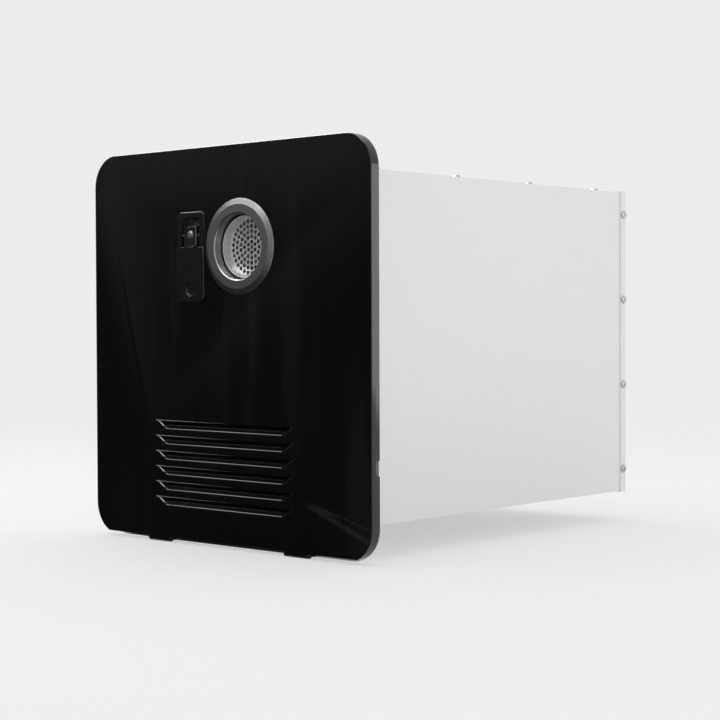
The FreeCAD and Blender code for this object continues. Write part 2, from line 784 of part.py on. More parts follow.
def valve_bracket():
    """The folded bracket that holds the valve off the floor."""
    x0, x1, y0, y1, z0, z1 = valve_box()
    return strip_x([(y1 - 6, inner_bottom), (y0 + 6, inner_bottom), (y0 + 6, z0 - 1.5), (y1 - 6, z0 - 1.5)][::-1], 1.5,
                   x0 + 6, x1 - 6)


def gas_inlet_pipe():
    """The pipe from the rear fitting to the valve."""
    x0, x1, y0, y1, z0, z1 = valve_box()
    return rod((gas_x, y1 + 8, gas_z), (0, 1, 0), gas_pipe_radius, inner_rear - 12 - y1 - 8)


def gas_feed_pipe():
    """The short pipe from the valve's side to the burner rail."""
    x0, x1, y0, y1, z0, z1 = valve_box()
    rail_z = burner_bottom + 16
    rail_x = bar_places()[0] - 10
    y = burner_y0 - 11
    start_y = y0 + 16
    turn_x = burner_x0 - feed_radius - 2
    return bent_pipe([(x1, start_y, z1 - 12), (turn_x, start_y, z1 - 12), (turn_x, y, z1 - 12), (turn_x, y, rail_z),
                      (rail_x, y, rail_z)], feed_radius, feed_radius + 1)


def rear_fitting(x, z, thread_radius):
    """A nipple through the rear panel: a hexagon inside, a shoulder for the nut, the thread and a bore."""
    seat = cabinet_depth + nut_thickness
    tail = rod((x, inner_rear - 12, z), (0, 1, 0), thread_radius, 4)
    flange = hexagon((x, inner_rear - 9, z), (0, 1, 0), nut_radius, 9)
    shoulder = rod((x, inner_rear - 1, z), (0, 1, 0), shoulder_radius, seat - inner_rear + 1)
    thread = rod((x, seat - 1, z), (0, 1, 0), thread_radius, thread_length + 1)
    bore = rod((x, inner_rear - 2, z), (0, 1, 0), thread_radius - fitting_wall, 60)
    return flange.fuse([tail, shoulder, thread]).cut(bore).removeSplitter()


def fitting_nuts():
    """Lock nuts on the outside of the rear panel."""
    nuts = []
    for x, z, radius in pipe_exits()[:3]:
        nut = hexagon((x, cabinet_depth, z), (0, 1, 0), nut_radius, nut_thickness)
        nuts.append(nut.cut(rod((x, cabinet_depth - 1, z), (0, 1, 0), radius, nut_thickness + 2)))
    return group(nuts)


def flow_sensor():
    """The flow sensor in the cold line."""
    y = inner_rear - 100
    body = rod((water_x, y, cold_z()), (0, 1, 0), 13, 48)
    cap = block(water_x - 9, water_x + 9, y + 10, y + 38, cold_z() + 8, cold_z() + 20)
    ends = hexagon((water_x, y - 8, cold_z()), (0, 1, 0), 12, 64)
    return body.fuse(cap).fuse(ends).removeSplitter()


def cold_pipe():
    """From the rear fitting through the flow sensor to the exchanger's rear run."""
    y = inner_rear - 108
    run_y = coil_places()[-1]
    near = rod((water_x, y + 64, cold_z()), (0, 1, 0), water_pipe_radius, inner_rear - 12 - y - 64)
    far = bent_pipe([(water_x, y, cold_z()), (water_x, run_y, cold_z()), (water_x, run_y, coil_z()),
                     (burner_x1 + coil_stub, run_y, coil_z())], water_pipe_radius, 14)
    return group([near, far])


def hot_pipe():
    """From the exchanger's front run up and back to the rear fitting."""
    run_y = coil_places()[0]
    return bent_pipe([(burner_x1 + coil_stub, run_y, coil_z()), (water_x, run_y, coil_z()), (water_x, run_y, hot_z()),
                      (water_x, inner_rear - 12, hot_z())], water_pipe_radius, 14)


def overheat_switches():
    """Two disc thermostats on the exchanger's front."""
    discs = []
    for x in (burner_x0 + 50, burner_x1 - 50):
        z = exchanger_top - 30
        discs.append(turned([(0, 0), (12, 0), (12, 3), (8, 3), (8, 12), (0, 12)], (x, burner_y0, z), (0, -1, 0)))
    return group(discs)


def control_corners():
    """Corners of the control box."""
    z0 = exchanger_top - control_height
    return -inner_x, -inner_x + control_width, service_depth + 8, service_depth + 8 + control_depth, z0, z0 + control_height


def control_box():
    """The moulded control box on the left wall, open to the right, with a hole for the switch in front."""
    x0, x1, y0, y1, z0, z1 = control_corners()
    w = control_wall
    box = block(x0, x1 - w, y0, y1, z0, z1).cut(block(x0 + w, x1, y0 + w, y1 - w, z0 + w, z1 - w))
    x, z = switch_middle()
    return box.cut(block(x - rocker_width / 2 - 1.5, x + rocker_width / 2 + 1.5, y0 - 1, y0 + w + 1,
                         z - rocker_height / 2 - 1.5, z + rocker_height / 2 + 1.5))


def control_lid():
    """The control box's lid, with cooling slots."""
    x0, x1, y0, y1, z0, z1 = control_corners()
    lid = block(x1 - control_wall, x1, y0, y1, z0, z1)
    for index in range(6):
        y = y0 + 70 + index * 9
        lid = lid.cut(block(x1 - control_wall - 1, x1 + 1, y, y + 3, z0 + 30, z1 - 30))
    for x, y, z, direction in lid_screw_places():
        lid = lid.cut(rod((x + 1, y, z), (-1, 0, 0), 1.5, 6))
    return lid


def lid_screw_places():
    """Head seat and direction of each screw in the control box's lid."""
    x0, x1, y0, y1, z0, z1 = control_corners()
    return [(x1, y, z, (1, 0, 0)) for y in (y0 + 8, y1 - 8) for z in (z0 + 8, z1 - 8)]


def lid_screws():
    """Small screws that hold the control box's lid."""
    profile = [(0, 1.6), (2.0, 1.6), (2.8, 0.6), (2.8, 0), (1.5, 0), (1.5, -2), (0, -2)]
    return group([turned(profile, (x, y, z), direction) for x, y, z, direction in lid_screw_places()])


def circuit_board():
    """The board inside the control box on its four standoffs, with relays, a chip and a transformer."""
    x0, x1, y0, y1, z0, z1 = control_corners()
    board_x = x0 + board_standoff
    front = y0 + switch_depth + 14
    board = block(board_x, board_x + board_sheet, front, y1 - 8, z0 + 6, z1 - 6)
    height = z1 - z0
    for y, share, dy, dz, rise in ((16, 0.17, 20, 16, 14), (46, 0.17, 20, 16, 14), (26, 0.5, 26, 26, 4),
                                   (76, 0.58, 30, 18, 20)):
        z = z0 + height * share
        board = board.fuse(block(board_x + 1, board_x + board_sheet + rise, front + y, front + y + dy, z, z + dz))
    for y in (front + 4, y1 - 12):
        for z in (z0 + 10, z1 - 10):
            board = board.fuse(rod((x0 + control_wall, y, z), (1, 0, 0), 2.5, board_x - x0 - control_wall + 0.5))
    return board.removeSplitter()


def switch_middle():
    """Middle of the power switch on the control box's front."""
    x0, x1, y0, y1, z0, z1 = control_corners()
    return (x0 + x1) / 2, z1 - switch_drop


def power_switch_body():
    """The switch's bezel and housing, hollow round the rocker."""
    x0, x1, y0, y1, z0, z1 = control_corners()
    x, z = switch_middle()
    half_x = rocker_width / 2
    half_z = rocker_height / 2
    bezel = block(x - half_x - 3.5, x + half_x + 3.5, y0 - 2, y0, z - half_z - 3.5, z + half_z + 3.5)
    shell = block(x - half_x - 1.5, x + half_x + 1.5, y0 - 1, y0 + switch_depth, z - half_z - 1.5, z + half_z + 1.5)
    pocket = block(x - half_x - 0.3, x + half_x + 0.3, y0 - 3, y0 + 14, z - half_z - 0.3, z + half_z + 0.3)
    body = bezel.fuse(shell).cut(pocket)
    axle = rod((x - half_x - 1.0, y0 + rocker_axle, z), (1, 0, 0), 1.5 + pin_clearance, rocker_width + 2.0)
    return body.cut(axle).removeSplitter()


def power_rocker():
    """The rocker: two faces that meet in a shallow valley, on its own stub axle, tipped to its lower position."""
    x0, x1, y0, y1, z0, z1 = control_corners()
    x, z = switch_middle()
    tip = rocker_height / 2 - 0.9
    outline = [(y0 - 3.6, z - tip), (y0 - 1.2, z), (y0 - 3.6, z + tip), (y0 + rocker_axle, z + tip - 0.6),
               (y0 + rocker_axle + 3.5, z), (y0 + rocker_axle, z - tip + 0.6)]
    rocker = prism_x(outline, x - rocker_width / 2 + 0.1, x + rocker_width / 2 - 0.1)
    axle = rod((x - rocker_width / 2 - 0.9, y0 + rocker_axle, z), (1, 0, 0), 1.5, rocker_width + 1.8)
    rocker = rocker.fuse(axle).removeSplitter()
    rocker.rotate(Vector(x, y0 + rocker_axle, z), Vector(1, 0, 0), rocker_swing / 2)
    return rocker


def ignition_transformer():
    """The spark box on the burner's left side."""
    z = burner_bottom + 30
    box = block(burner_x0 - 20, burner_x0, burner_y0 + 100, burner_y0 + 150, z - 14, z + 20)
    return box.fuse(rod((burner_x0 - 10, burner_y0 + 92, z), (0, 1, 0), 5, 9)).removeSplitter()


def cable_gland():
    """The gland for the supply cable in the rear panel."""
    x, z, radius = pipe_exits()[3]
    body = rod((x, inner_rear - 6, z), (0, 1, 0), radius, 6 + cabinet_sheet + gland_reach)
    outer_nut = hexagon((x, cabinet_depth, z), (0, 1, 0), radius + 3, 6)
    inner_nut = hexagon((x, inner_rear - 4, z), (0, 1, 0), radius + 3, 4)
    return body.fuse([outer_nut, inner_nut]).cut(rod((x, inner_rear - 7, z), (0, 1, 0), gland_bore, 40)).removeSplitter()


def louvre_wedge(z_top):
    """The space that one louvre pushes into the door: a wedge with slanted ends."""
    top = louvre_width / 2
    foot = louvre_foot / 2
    back = (top + foot) / 2 + 3
    low = z_top - louvre_height
    a, b = Vector(louvre_x - top, door_front, z_top), Vector(louvre_x + top, door_front, z_top)
    c, d = Vector(louvre_x + foot, door_front, low), Vector(louvre_x - foot, door_front, low)
    rear = door_front + louvre_depth
    e, f = Vector(louvre_x - back, rear, z_top), Vector(louvre_x + back, rear, z_top)
    faces = [Part.Face(Part.makePolygon(loop + loop[:1])) for loop in
             ([a, b, c, d], [d, c, f, e], [a, b, f, e], [a, d, e], [b, f, c])]
    return Part.makeSolid(Part.makeShell(faces))


def louvre_window(z_top, depth):
    """The part of the door's face that is pressed with one louvre, to a depth behind the front."""
    half = louvre_width / 2 + louvre_margin
    return block(louvre_x - half, louvre_x + half, door_front, door_front + depth,
                 z_top - louvre_height - louvre_bend, z_top + 1)


def louvre(z_top):
    """One louvre in its piece of sheet: the pressed front with round folds, less the same front moved back."""
    low = z_top - louvre_height
    front = louvre_window(z_top, louvre_depth + 6).cut(louvre_wedge(z_top))
    corners = [edge for edge in front.Edges
               if edge.BoundBox.YLength > 0.9 * louvre_depth and edge.BoundBox.YMin < door_front + 0.01
               and edge.BoundBox.YMax < door_front + louvre_depth + 0.1 and abs(edge.BoundBox.ZMin - low) < 0.1]
    front = front.makeFillet(louvre_corner, corners)
    folds = [edge for edge in front.Edges
             if edge.BoundBox.YMax < door_front + 0.01 and low - 0.1 < edge.BoundBox.ZMin < z_top - 0.1]
    front = front.makeFillet(louvre_bend, folds)
    back = front.copy()
    back.translate(Vector(0, door_sheet, 0))
    return front.cut(back)


def door_panel():
    """The pressed door: a shallow pan cut straight at its foot, with louvres, openings and hinge tabs."""
    x, z = door_half_width, door_half_height
    pan = rounded_slab(-x, x, -z, z, door_corner, door_front, door_rear)
    front_edges = [edge for edge in pan.Edges if abs(edge.BoundBox.YMax - door_front) < 0.01]
    pan = pan.makeFillet(door_edge, front_edges)
    t = door_sheet
    pan = pan.cut(rounded_slab(-x + t, x - t, -z + t, z - t, door_corner - t, door_front + t, door_rear + 1))
    pan = pan.cut(block(-x - 1, x + 1, door_front - 1, door_rear + 1, -z - 1, door_bottom))
    for index in range(louvre_count):
        z_top = -z + louvre_rise + index * louvre_pitch
        pan = pan.cut(louvre_window(z_top, door_sheet)).fuse(louvre(z_top))
    pan = pan.cut(rod((exhaust_x, door_front - 1, exhaust_z), (0, 1, 0), collar_sleeve_radius + pin_clearance, 4))
    pan = pan.cut(boss_block(0.2, door_front - 1, door_front + 3))
    notch_z = pry_notch_z
    pan = pan.cut(block(x - 3, x + 1, door_rear - pry_notch_depth, door_rear + 1, notch_z - pry_notch_height / 2,
                        notch_z + pry_notch_height / 2))
    for centre in (-hinge_spread / 2, hinge_spread / 2):
        x0 = centre - knuckle_length / 2
        tab = block(x0, x0 + knuckle_length, door_front, door_front + t, hinge_z, door_bottom + 1)
        knuckle = rod((x0, hinge_y, hinge_z), (1, 0, 0), knuckle_radius, knuckle_length)
        bore = rod((x0 - 1, hinge_y, hinge_z), (1, 0, 0), hinge_pin_radius + pin_clearance, knuckle_length + 2)
        pan = pan.fuse(tab).fuse(knuckle).cut(bore)
    return pan.removeSplitter()


def exhaust_collar():
    """The turned bezel round the exhaust, with a sleeve through the door."""
    profile = [(collar_bore, collar_sleeve), (collar_bore, -collar_height + collar_lip),
               (collar_bore + collar_lip, -collar_height),
               (collar_face_radius, -collar_height), (collar_radius, -collar_rim), (collar_radius, 0),
               (collar_sleeve_radius, 0), (collar_sleeve_radius, collar_sleeve)]
    return turned(profile, (exhaust_x, door_front, exhaust_z), (0, 1, 0))


def collar_retainer():
    """The push-on ring that holds the collar from behind."""
    return ring((exhaust_x, door_front + door_sheet, exhaust_z), (0, 1, 0), collar_sleeve_radius + 8,
                collar_sleeve_radius + pin_clearance, 1.2)


def boss_block(margin, y0, y1):
    """The latch housing's boss through the door, grown by a margin."""
    half = pocket_width / 2 + 2.6 + margin
    return block(latch_x - half, latch_x + half, y0, y1, pocket_bottom - 2.4 - margin, pocket_top + 2.2 + margin)


def latch_housing():
    """The latch's moulded housing: tray below, raised bezel above, pocket through the door."""
    x0, x1 = latch_x - latch_width / 2, latch_x + latch_width / 2
    top = latch_z + latch_height / 2
    body = rounded_slab(x0, x1, latch_bottom, top, latch_corner, door_front - latch_bezel, door_front)
    body = body.cut(block(x0 - 1, x1 + 1, door_front - latch_bezel - 1, door_front - latch_tray, latch_bottom - 1,
                          pocket_bottom))
    body = body.fuse(boss_block(0, door_front, door_front + 7))
    half = pocket_width / 2
    body = body.cut(block(latch_x - half, latch_x + half, door_front - 10, door_front + 10, pocket_bottom, pocket_top))
    pin = rod((latch_x - 14, pivot_y, pivot_z), (1, 0, 0), latch_pin_radius, 28)
    body = body.cut(pin)
    notch = block(latch_x - neck_width / 2 - 0.4, latch_x + neck_width / 2 + 0.4, door_front - 10,
                  door_front - latch_tray + 3, pocket_bottom - 8, pocket_bottom + 1)
    return body.cut(notch).removeSplitter()


def latch_pin():
    """The pin that the lever turns on."""
    return rod((latch_x - 14, pivot_y, pivot_z), (1, 0, 0), latch_pin_radius, 28)


def latch_spring():
    """The leaf spring on the housing's boss that presses the hook back up."""
    y1 = door_front + 7
    top = pocket_top + 2.2
    path = [(door_front + 3.0, top), (y1, top), (y1, pivot_z + 4.0), (y1 + 3.5, pivot_z + 2.6)]
    return strip_x(path, spring_sheet, latch_x - spring_width / 2, latch_x + spring_width / 2)


def latch_lever():
    """The lever: a plate over the tray, its round finger dimple, and the neck on the pin."""
    x0, x1 = latch_x - latch_width / 2, latch_x + latch_width / 2
    front = door_front - lever_front
    plate = rounded_slab(x0, x1, latch_bottom, lever_top + 12, latch_corner, front, front + lever_sheet)
    plate = plate.cut(block(x0 - 1, x1 + 1, front - 1, front + lever_sheet + 1, lever_top, lever_top + 20))
    dimple = turned([(0, -2), (dimple_radius, -2), (dimple_radius, 0), (dimple_radius - 1.6, 1.6), (0, 1.6)],
                    (latch_x - 0.6, front, latch_bottom + dimple_rise), (0, 1, 0))
    plate = plate.cut(dimple)
    half = neck_width / 2
    neck_top = lever_top + neck_rise
    neck = prism_x([(front, lever_top - 1), (door_front - 2.2, lever_top + 2.4), (door_front - 2.2, neck_top),
                    (pivot_y + 4, neck_top), (pivot_y + 4, pivot_z - 4), (door_front - 1.4, lever_top - 1)],
                   latch_x - half, latch_x + half)
    lever = plate.fuse(neck)
    return lever.cut(rod((latch_x - 14, pivot_y, pivot_z), (1, 0, 0), latch_pin_radius + pin_clearance, 28)).removeSplitter()


def latch_hook():
    """The steel hook on the neck's back; its nose rises behind the keeper clip."""
    back = pivot_y + 4
    nose = pivot_y + hook_reach
    outline = [(back, pivot_z + 6), (back, pivot_z - 3.5), (nose + 3.5, pivot_z - 3.5), (nose + 3.5, pivot_z + 2),
               (nose + 1.2, pivot_z + 4.8), (nose, pivot_z + 4.8), (nose, pivot_z - 0.5), (back + 1.6, pivot_z - 0.5),
               (back + 1.6, pivot_z + 6)]
    return prism_x(outline, latch_x - hook_width / 2, latch_x + hook_width / 2)


def latch_rivet():
    """The rivet head that shows on the neck."""
    profile = [(0, 0), (4.2, 0), (4.2, 0.5), (2.6, 1.3), (0, 1.3)]
    return turned(profile, (latch_x + 0.8, door_front - 2.2, pivot_z), (0, -1, 0))


def save(name, shape):
    """Write one sub-part to its own file, after a check that it is sound."""
    solids = shape.Solids
    if not solids or not shape.isValid() or min(solid.Volume for solid in solids) <= 0:
        raise ValueError(name + " isn't a valid solid")
    shape = solids[0] if len(solids) == 1 else Part.makeCompound(solids)
    shape.exportStep("parts/" + name + ".step")


def main():
    """Build every sub-part and write it."""
    os.makedirs("parts", exist_ok=True)
    for build in (mounting_frame, hinge_pins, door_seal, cabinet_wrap, top_cover, back_panel, upper_bulkhead,
                  keeper_clip, exhaust_tube, exhaust_guard, exhaust_gasket, flue_hood, exchanger_shell,
                  exchanger_fins, exchanger_coil, burner_box, burner_bars, gas_manifold, spark_electrodes,
                  air_plenum, base_rails, fan_housing, fan_motor, fan_shaft, fan_wheel, gas_valve, gas_solenoids,
                  valve_bracket, gas_inlet_pipe, gas_feed_pipe, fitting_nuts, flow_sensor, cold_pipe, hot_pipe,
                  overheat_switches, control_box, control_lid, lid_screws, circuit_board, power_switch_body,
                  power_rocker, ignition_transformer, cable_gland, door_panel, exhaust_collar, collar_retainer,
                  latch_housing, latch_pin, latch_spring, latch_lever, latch_hook, latch_rivet):
        save(build.__name__, build())
    save("cover_screws", screws(cover_screw_places(), screw_length))
    save("back_screws", screws(back_screw_places(), screw_length))
    save("water_inlet_fitting", rear_fitting(water_x, cold_z(), water_thread_radius))
    save("water_outlet_fitting", rear_fitting(water_x, hot_z(), water_thread_radius))
    save("gas_inlet_fitting", rear_fitting(gas_x, gas_z, gas_thread_radius))


main()
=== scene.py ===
"""Looks for a recess-mounted gas water heater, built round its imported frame.

Metres. The heater's door faces -Y, its cabinet runs back along +Y and +Z is up.
"""

from __future__ import annotations

import json
import logging
import math
from dataclasses import dataclass, field
from enum import Enum
from typing import Any, Iterable, Sequence, Union

import bmesh
import bpy
from mathutils import Matrix, Vector

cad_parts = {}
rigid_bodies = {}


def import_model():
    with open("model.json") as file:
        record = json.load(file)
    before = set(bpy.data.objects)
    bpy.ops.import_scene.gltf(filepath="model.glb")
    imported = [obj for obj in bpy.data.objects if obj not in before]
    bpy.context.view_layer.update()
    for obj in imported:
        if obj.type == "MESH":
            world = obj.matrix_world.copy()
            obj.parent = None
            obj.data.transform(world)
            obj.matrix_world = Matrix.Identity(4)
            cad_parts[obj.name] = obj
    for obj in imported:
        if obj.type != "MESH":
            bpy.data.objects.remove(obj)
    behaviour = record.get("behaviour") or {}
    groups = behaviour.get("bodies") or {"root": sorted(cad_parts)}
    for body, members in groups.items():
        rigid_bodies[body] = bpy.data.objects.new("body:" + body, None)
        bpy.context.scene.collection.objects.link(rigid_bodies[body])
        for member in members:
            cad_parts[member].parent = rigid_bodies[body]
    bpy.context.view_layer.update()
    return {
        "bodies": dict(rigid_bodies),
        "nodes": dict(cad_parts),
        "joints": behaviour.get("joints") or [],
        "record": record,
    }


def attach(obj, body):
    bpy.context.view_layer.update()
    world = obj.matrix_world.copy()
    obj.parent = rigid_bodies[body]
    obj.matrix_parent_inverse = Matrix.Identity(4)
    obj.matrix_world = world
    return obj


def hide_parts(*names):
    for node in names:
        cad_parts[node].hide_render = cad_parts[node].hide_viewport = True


LOG = logging.getLogger("water_heater")
MERGE_DISTANCE = 1e-7
EXHAUST_CENTRE = (0.023, 0.0, 0.0959)

Colour = tuple[float, float, float]
Point = tuple[float, float, float]
Range = tuple[float, float]


class Body(Enum):
    """The bodies that new pieces ride on."""

    CABINET = "cabinet"
    DOOR = "door"
    LATCH = "latch"


class Axis(Enum):
    """The direction that a rolled or drawn grain runs in."""

    X = 0
    Y = 1
    Z = 2

    def stretch(self, along: float, across: float) -> Point:
        """Gives the scale of a pattern that is drawn out along this axis.

        Args:
            along: Cycles per metre along the axis.
            across: Cycles per metre across it.

        Returns:
            The scale on X, Y and Z.
        """
        return tuple(along if axis is self else across for axis in Axis)


# ---------------------------------------------------------------- shader maths


class Wire:
    """A shader socket that takes part in Python arithmetic."""

    def __init__(self, shader: Graph, socket: bpy.types.NodeSocket) -> None:
        """Keeps the socket and the graph that it belongs to.

        Args:
            shader: The graph whose tree holds the socket.
            socket: The output socket.
        """
        self.shader = shader
        self.socket = socket

    def __add__(self, other: Operand) -> Wire:
        """Adds a value or a socket."""
        return self.shader.math("ADD", self, other)

    __radd__ = __add__

    def __sub__(self, other: Operand) -> Wire:
        """Takes a value or a socket away."""
        return self.shader.math("SUBTRACT", self, other)

    def __rsub__(self, other: Operand) -> Wire:
        """Takes this socket away from a value."""
        return self.shader.math("SUBTRACT", other, self)

    def __mul__(self, other: Operand) -> Wire:
        """Multiplies by a value or a socket."""
        return self.shader.math("MULTIPLY", self, other)

    __rmul__ = __mul__

    def span(self, low: float, high: float, start: float = 0.0, end: float = 1.0) -> Wire:
        """Maps one range smoothly on another, clamped at both ends.

        Args:
            low: Value that gives start.
            high: Value that gives end.
            start: Result at low.
            end: Result at high.

        Returns:
            The mapped socket.
        """
        values = {"Value": self, "From Min": low, "From Max": high, "To Min": start, "To Max": end}
        return self.shader.node("ShaderNodeMapRange", {"interpolation_type": "SMOOTHSTEP"}, values)


Operand = Union[float, Wire]


class Graph:
    """A node tree that is written as expressions."""

    def __init__(self, tree: bpy.types.NodeTree) -> None:
        """Keeps the tree.

        Args:
            tree: The node tree of a material or a world.
        """
        self.tree = tree

    def node(
        self,
        kind: str,
        settings: dict[str, Any],
        values: dict[Any, Any],
        output: int | str = 0,
    ) -> Wire:
        """Adds a node.

        Args:
            kind: The node's type.
            settings: Its properties, set before its sockets.
            values: Its inputs by name or number, as numbers, tuples or wires.
            output: The output to return, by name or number.

        Returns:
            The chosen output.
        """
        made = self.tree.nodes.new(kind)
        for name, value in settings.items():
            setattr(made, name, value)
        for name, value in values.items():
            self.feed(made.inputs[name], value)
        return Wire(self, made.outputs[output])

    def feed(self, socket: bpy.types.NodeSocket, value: Any) -> None:
        """Sets an input from a number, a colour or a wire.

        Args:
            socket: The input.
            value: What goes into it.
        """
        if isinstance(value, Wire):
            self.tree.links.new(value.socket, socket)
        elif socket.type == "RGBA" and len(value) == 3:
            socket.default_value = (*value, 1.0)
        else:
            socket.default_value = value

    def math(self, operation: str, *operands: Operand) -> Wire:
        """Adds a Math node for an expression.

        Args:
            operation: The node's operation.
            operands: Its inputs in order.

        Returns:
            The result.
        """
        return self.node("ShaderNodeMath", {"operation": operation}, dict(enumerate(operands)))

    def mix(self, factor: Operand, first: Any, second: Any) -> Wire:
        """Mixes two colours.

        Args:
            factor: 0 for the first, 1 for the second.
            first: A colour or a wire.
            second: A colour or a wire.

        Returns:
            The mixed colour.
        """
        return self.node("ShaderNodeMix", {"data_type": "RGBA"}, {0: factor, 6: first, 7: second}, 2)

    def split(self, vector: Wire) -> tuple[Wire, Wire, Wire]:
        """Splits a vector.

        Args:
            vector: The vector.

        Returns:
            Its X, Y and Z parts.
        """
        parts = self.node("ShaderNodeSeparateXYZ", {}, {0: vector})
        return tuple(Wire(self, output) for output in parts.socket.node.outputs)

    def seen(self) -> Wire:
        """Says where a ray comes straight from the camera, a mirror or glass.

        Returns:
            1 for such a ray.
        """
        path = self.node("ShaderNodeLightPath", {}, {}, "Is Camera Ray")
        rays = path.socket.node.outputs
        return path + Wire(self, rays["Is Glossy Ray"]) + Wire(self, rays["Is Transmission Ray"])

    def mirrored(self) -> Wire:
        """Says where a ray comes from a glossy surface.

        Returns:
            1 for such a ray.
        """
        return self.node("ShaderNodeLightPath", {}, {}, "Is Glossy Ray")


@dataclass(frozen=True)
class Pattern:
    """Patches of noise: cycles per metre, octaves, and the values of the noise that give 0 and 1."""

    scale: float
    detail: float
    low: float
    high: float
    rough: float = 0.5


class Shader(Graph):
    """One material's node tree, with a Principled surface."""

    def __init__(self, name: str) -> None:
        """Makes the material.

        Args:
            name: The material's name.
        """
        self.material = bpy.data.materials.new(name)
        self.material.use_nodes = True
        super().__init__(self.material.node_tree)
        self.surface = self.tree.nodes["Principled BSDF"]

    def place(self, centre: Point = (0.0, 0.0, 0.0), scale: Point = (1.0, 1.0, 1.0)) -> Wire:
        """Gives object coordinates about a centre.

        Args:
            centre: The point that becomes the origin.
            scale: Factor along each axis.

        Returns:
            The coordinate vector.
        """
        object_place = self.node("ShaderNodeTexCoord", {}, {}, "Object")
        shift = tuple(-c * s for c, s in zip(centre, scale))
        values = {"Vector": object_place, "Location": shift, "Scale": scale}
        return self.node("ShaderNodeMapping", {}, values)

    def noise(
        self,
        scale: float,
        detail: float = 2.0,
        vector: Wire | None = None,
        rough: float = 0.5,
    ) -> Wire:
        """Adds a noise pattern.

        Args:
            scale: Cycles per metre.
            detail: Octaves.
            vector: Where it is read, or None for plain object coordinates.
            rough: How strongly the finer octaves count.

        Returns:
            A value round one half.
        """
        values = {"Vector": vector or self.place(), "Scale": scale, "Detail": detail, "Roughness": rough}
        return self.node("ShaderNodeTexNoise", {}, values)

    def patches(self, pattern: Pattern, vector: Wire | None = None) -> Wire:
        """Adds patches of noise.

        Args:
            pattern: The patches' pattern.
            vector: Where it is read, or None for plain object coordinates.

        Returns:
            0 between the patches and 1 in them.
        """
        noise = self.noise(pattern.scale, pattern.detail, vector, pattern.rough)
        return noise.span(pattern.low, pattern.high)

    def cells(self, scale: float, output: str = "Distance", vector: Wire | None = None) -> Wire:
        """Adds a cell pattern.

        Args:
            scale: Cells per metre.
            output: Distance from the cell's middle, or the cell's own Color.
            vector: Where it is read, or None for plain object coordinates.

        Returns:
            The chosen output.
        """
        values = {"Vector": vector or self.place(), "Scale": scale}
        return self.node("ShaderNodeTexVoronoi", {}, values, output)

    def set(self, **inputs: Any) -> None:
        """Sets inputs of the surface.

        Args:
            inputs: Values or wires by the input's name, with underscores for spaces.
        """
        for name, value in inputs.items():
            self.feed(self.surface.inputs[name.replace("_", " ")], value)

    def bump(self, height: Wire, distance: float) -> None:
        """Raises the surface by a pattern.

        Args:
            height: The pattern, from 0 to 1.
            distance: Height of the relief, in metres.
        """
        values = {"Height": height, "Distance": distance, "Strength": 1.0}
        self.set(Normal=self.node("ShaderNodeBump", {}, values))


# -------------------------------------------------------------------- finishes


@dataclass(frozen=True)
class Finish:
    """A surface finish: its colour and how rough it is.

    A relief is the height of its bump in metres. Plain numbers named after a pattern are its cycles per metre.
    """

    name: str
    colour: Colour
    roughness: float

    def material(self) -> bpy.types.Material:
        """Builds the finish's material.

        Returns:
            The new material.
        """
        shader = Shader(self.name)
        self.dress(shader)
        return shader.material

    def dress(self, shader: Shader) -> None:
        """Sets the shader's nodes.

        Args:
            shader: The shader to fill.
        """
        raise NotImplementedError

    def toned(self, factor: float, lift: float = 0.0) -> Colour:
        """Gives a darker or lighter tone of the colour.

        Args:
            factor: What each part is multiplied by.
            lift: What is added to it.

        Returns:
            The tone, with no part over 1.
        """
        return tuple(min(1.0, part * factor + lift) for part in self.colour)


@dataclass(frozen=True)
class GlossPaint(Finish):
    """Baked gloss paint, with settled dust, faint wipe marks, orange peel and a pale painted highlight on the
    louvres' downward-facing cut edges.
    """

    dust: float = 0.0
    dust_colour: Colour = (0.3, 0.3, 0.3)
    specks: Pattern = Pattern(620.0, 2.0, 0.70, 0.78)
    drifts: Pattern = Pattern(9.0, 3.0, 0.45, 0.75)
    wipes: Pattern = Pattern(34.0, 3.0, 0.50, 0.80)
    wipe_stretch: Point = (1.0, 1.0, 0.12)
    unevenness: float = 14.0
    peel: float = 420.0
    relief: float = 0.000012
    specular: float = 0.5
    # Where the pale painted highlight goes: a band of heights on the door, the downward facing of the cut edges,
    # and the highlight's colour.
    painted_highlight_low: float = -0.153
    painted_highlight_high: float = -0.060
    painted_highlight_fade: float = 0.001
    painted_highlight_facing: Range = (-0.25, -0.45)
    painted_highlight_colour: Colour = (0.70, 0.70, 0.70)

    def painted_highlight(self, shader: Shader) -> Wire:
        """Finds the louvres' cut edges, which face down and get a pale painted highlight that stands for the light
        they catch.

        Args:
            shader: The shader to fill.

        Returns:
            1 where the painted highlight goes.
        """
        height = shader.split(shader.place())[2]
        normal = shader.node("ShaderNodeNewGeometry", {}, {}, "Normal")
        down = shader.split(normal)[2].span(*self.painted_highlight_facing)
        above = height.span(self.painted_highlight_low, self.painted_highlight_low + self.painted_highlight_fade)
        below = height.span(self.painted_highlight_high, self.painted_highlight_high - self.painted_highlight_fade)
        return down * (above * below)

    def dress(self, shader: Shader) -> None:
        """Lays specks of dust and wipe marks over the paint, and a pale painted highlight on the louvres' cut
        edges.
        """
        specks = shader.patches(self.specks)
        drifts = shader.patches(self.drifts)
        wipes = shader.patches(self.wipes, shader.place(scale=self.wipe_stretch))
        dust = (specks * (drifts * 0.8 + 0.2) + wipes * 0.06) * self.dust
        dusty = shader.mix(dust, self.colour, self.dust_colour)
        # The louvres' cut edges get a pale painted highlight over the paint.
        shader.set(
            Base_Color=shader.mix(self.painted_highlight(shader), dusty, self.painted_highlight_colour),
            Roughness=shader.noise(self.unevenness) * 0.05 + (self.roughness - 0.025) + dust * 0.3,
            Specular_IOR_Level=self.specular,
        )
        shader.bump(shader.noise(self.peel, 1.0), self.relief)


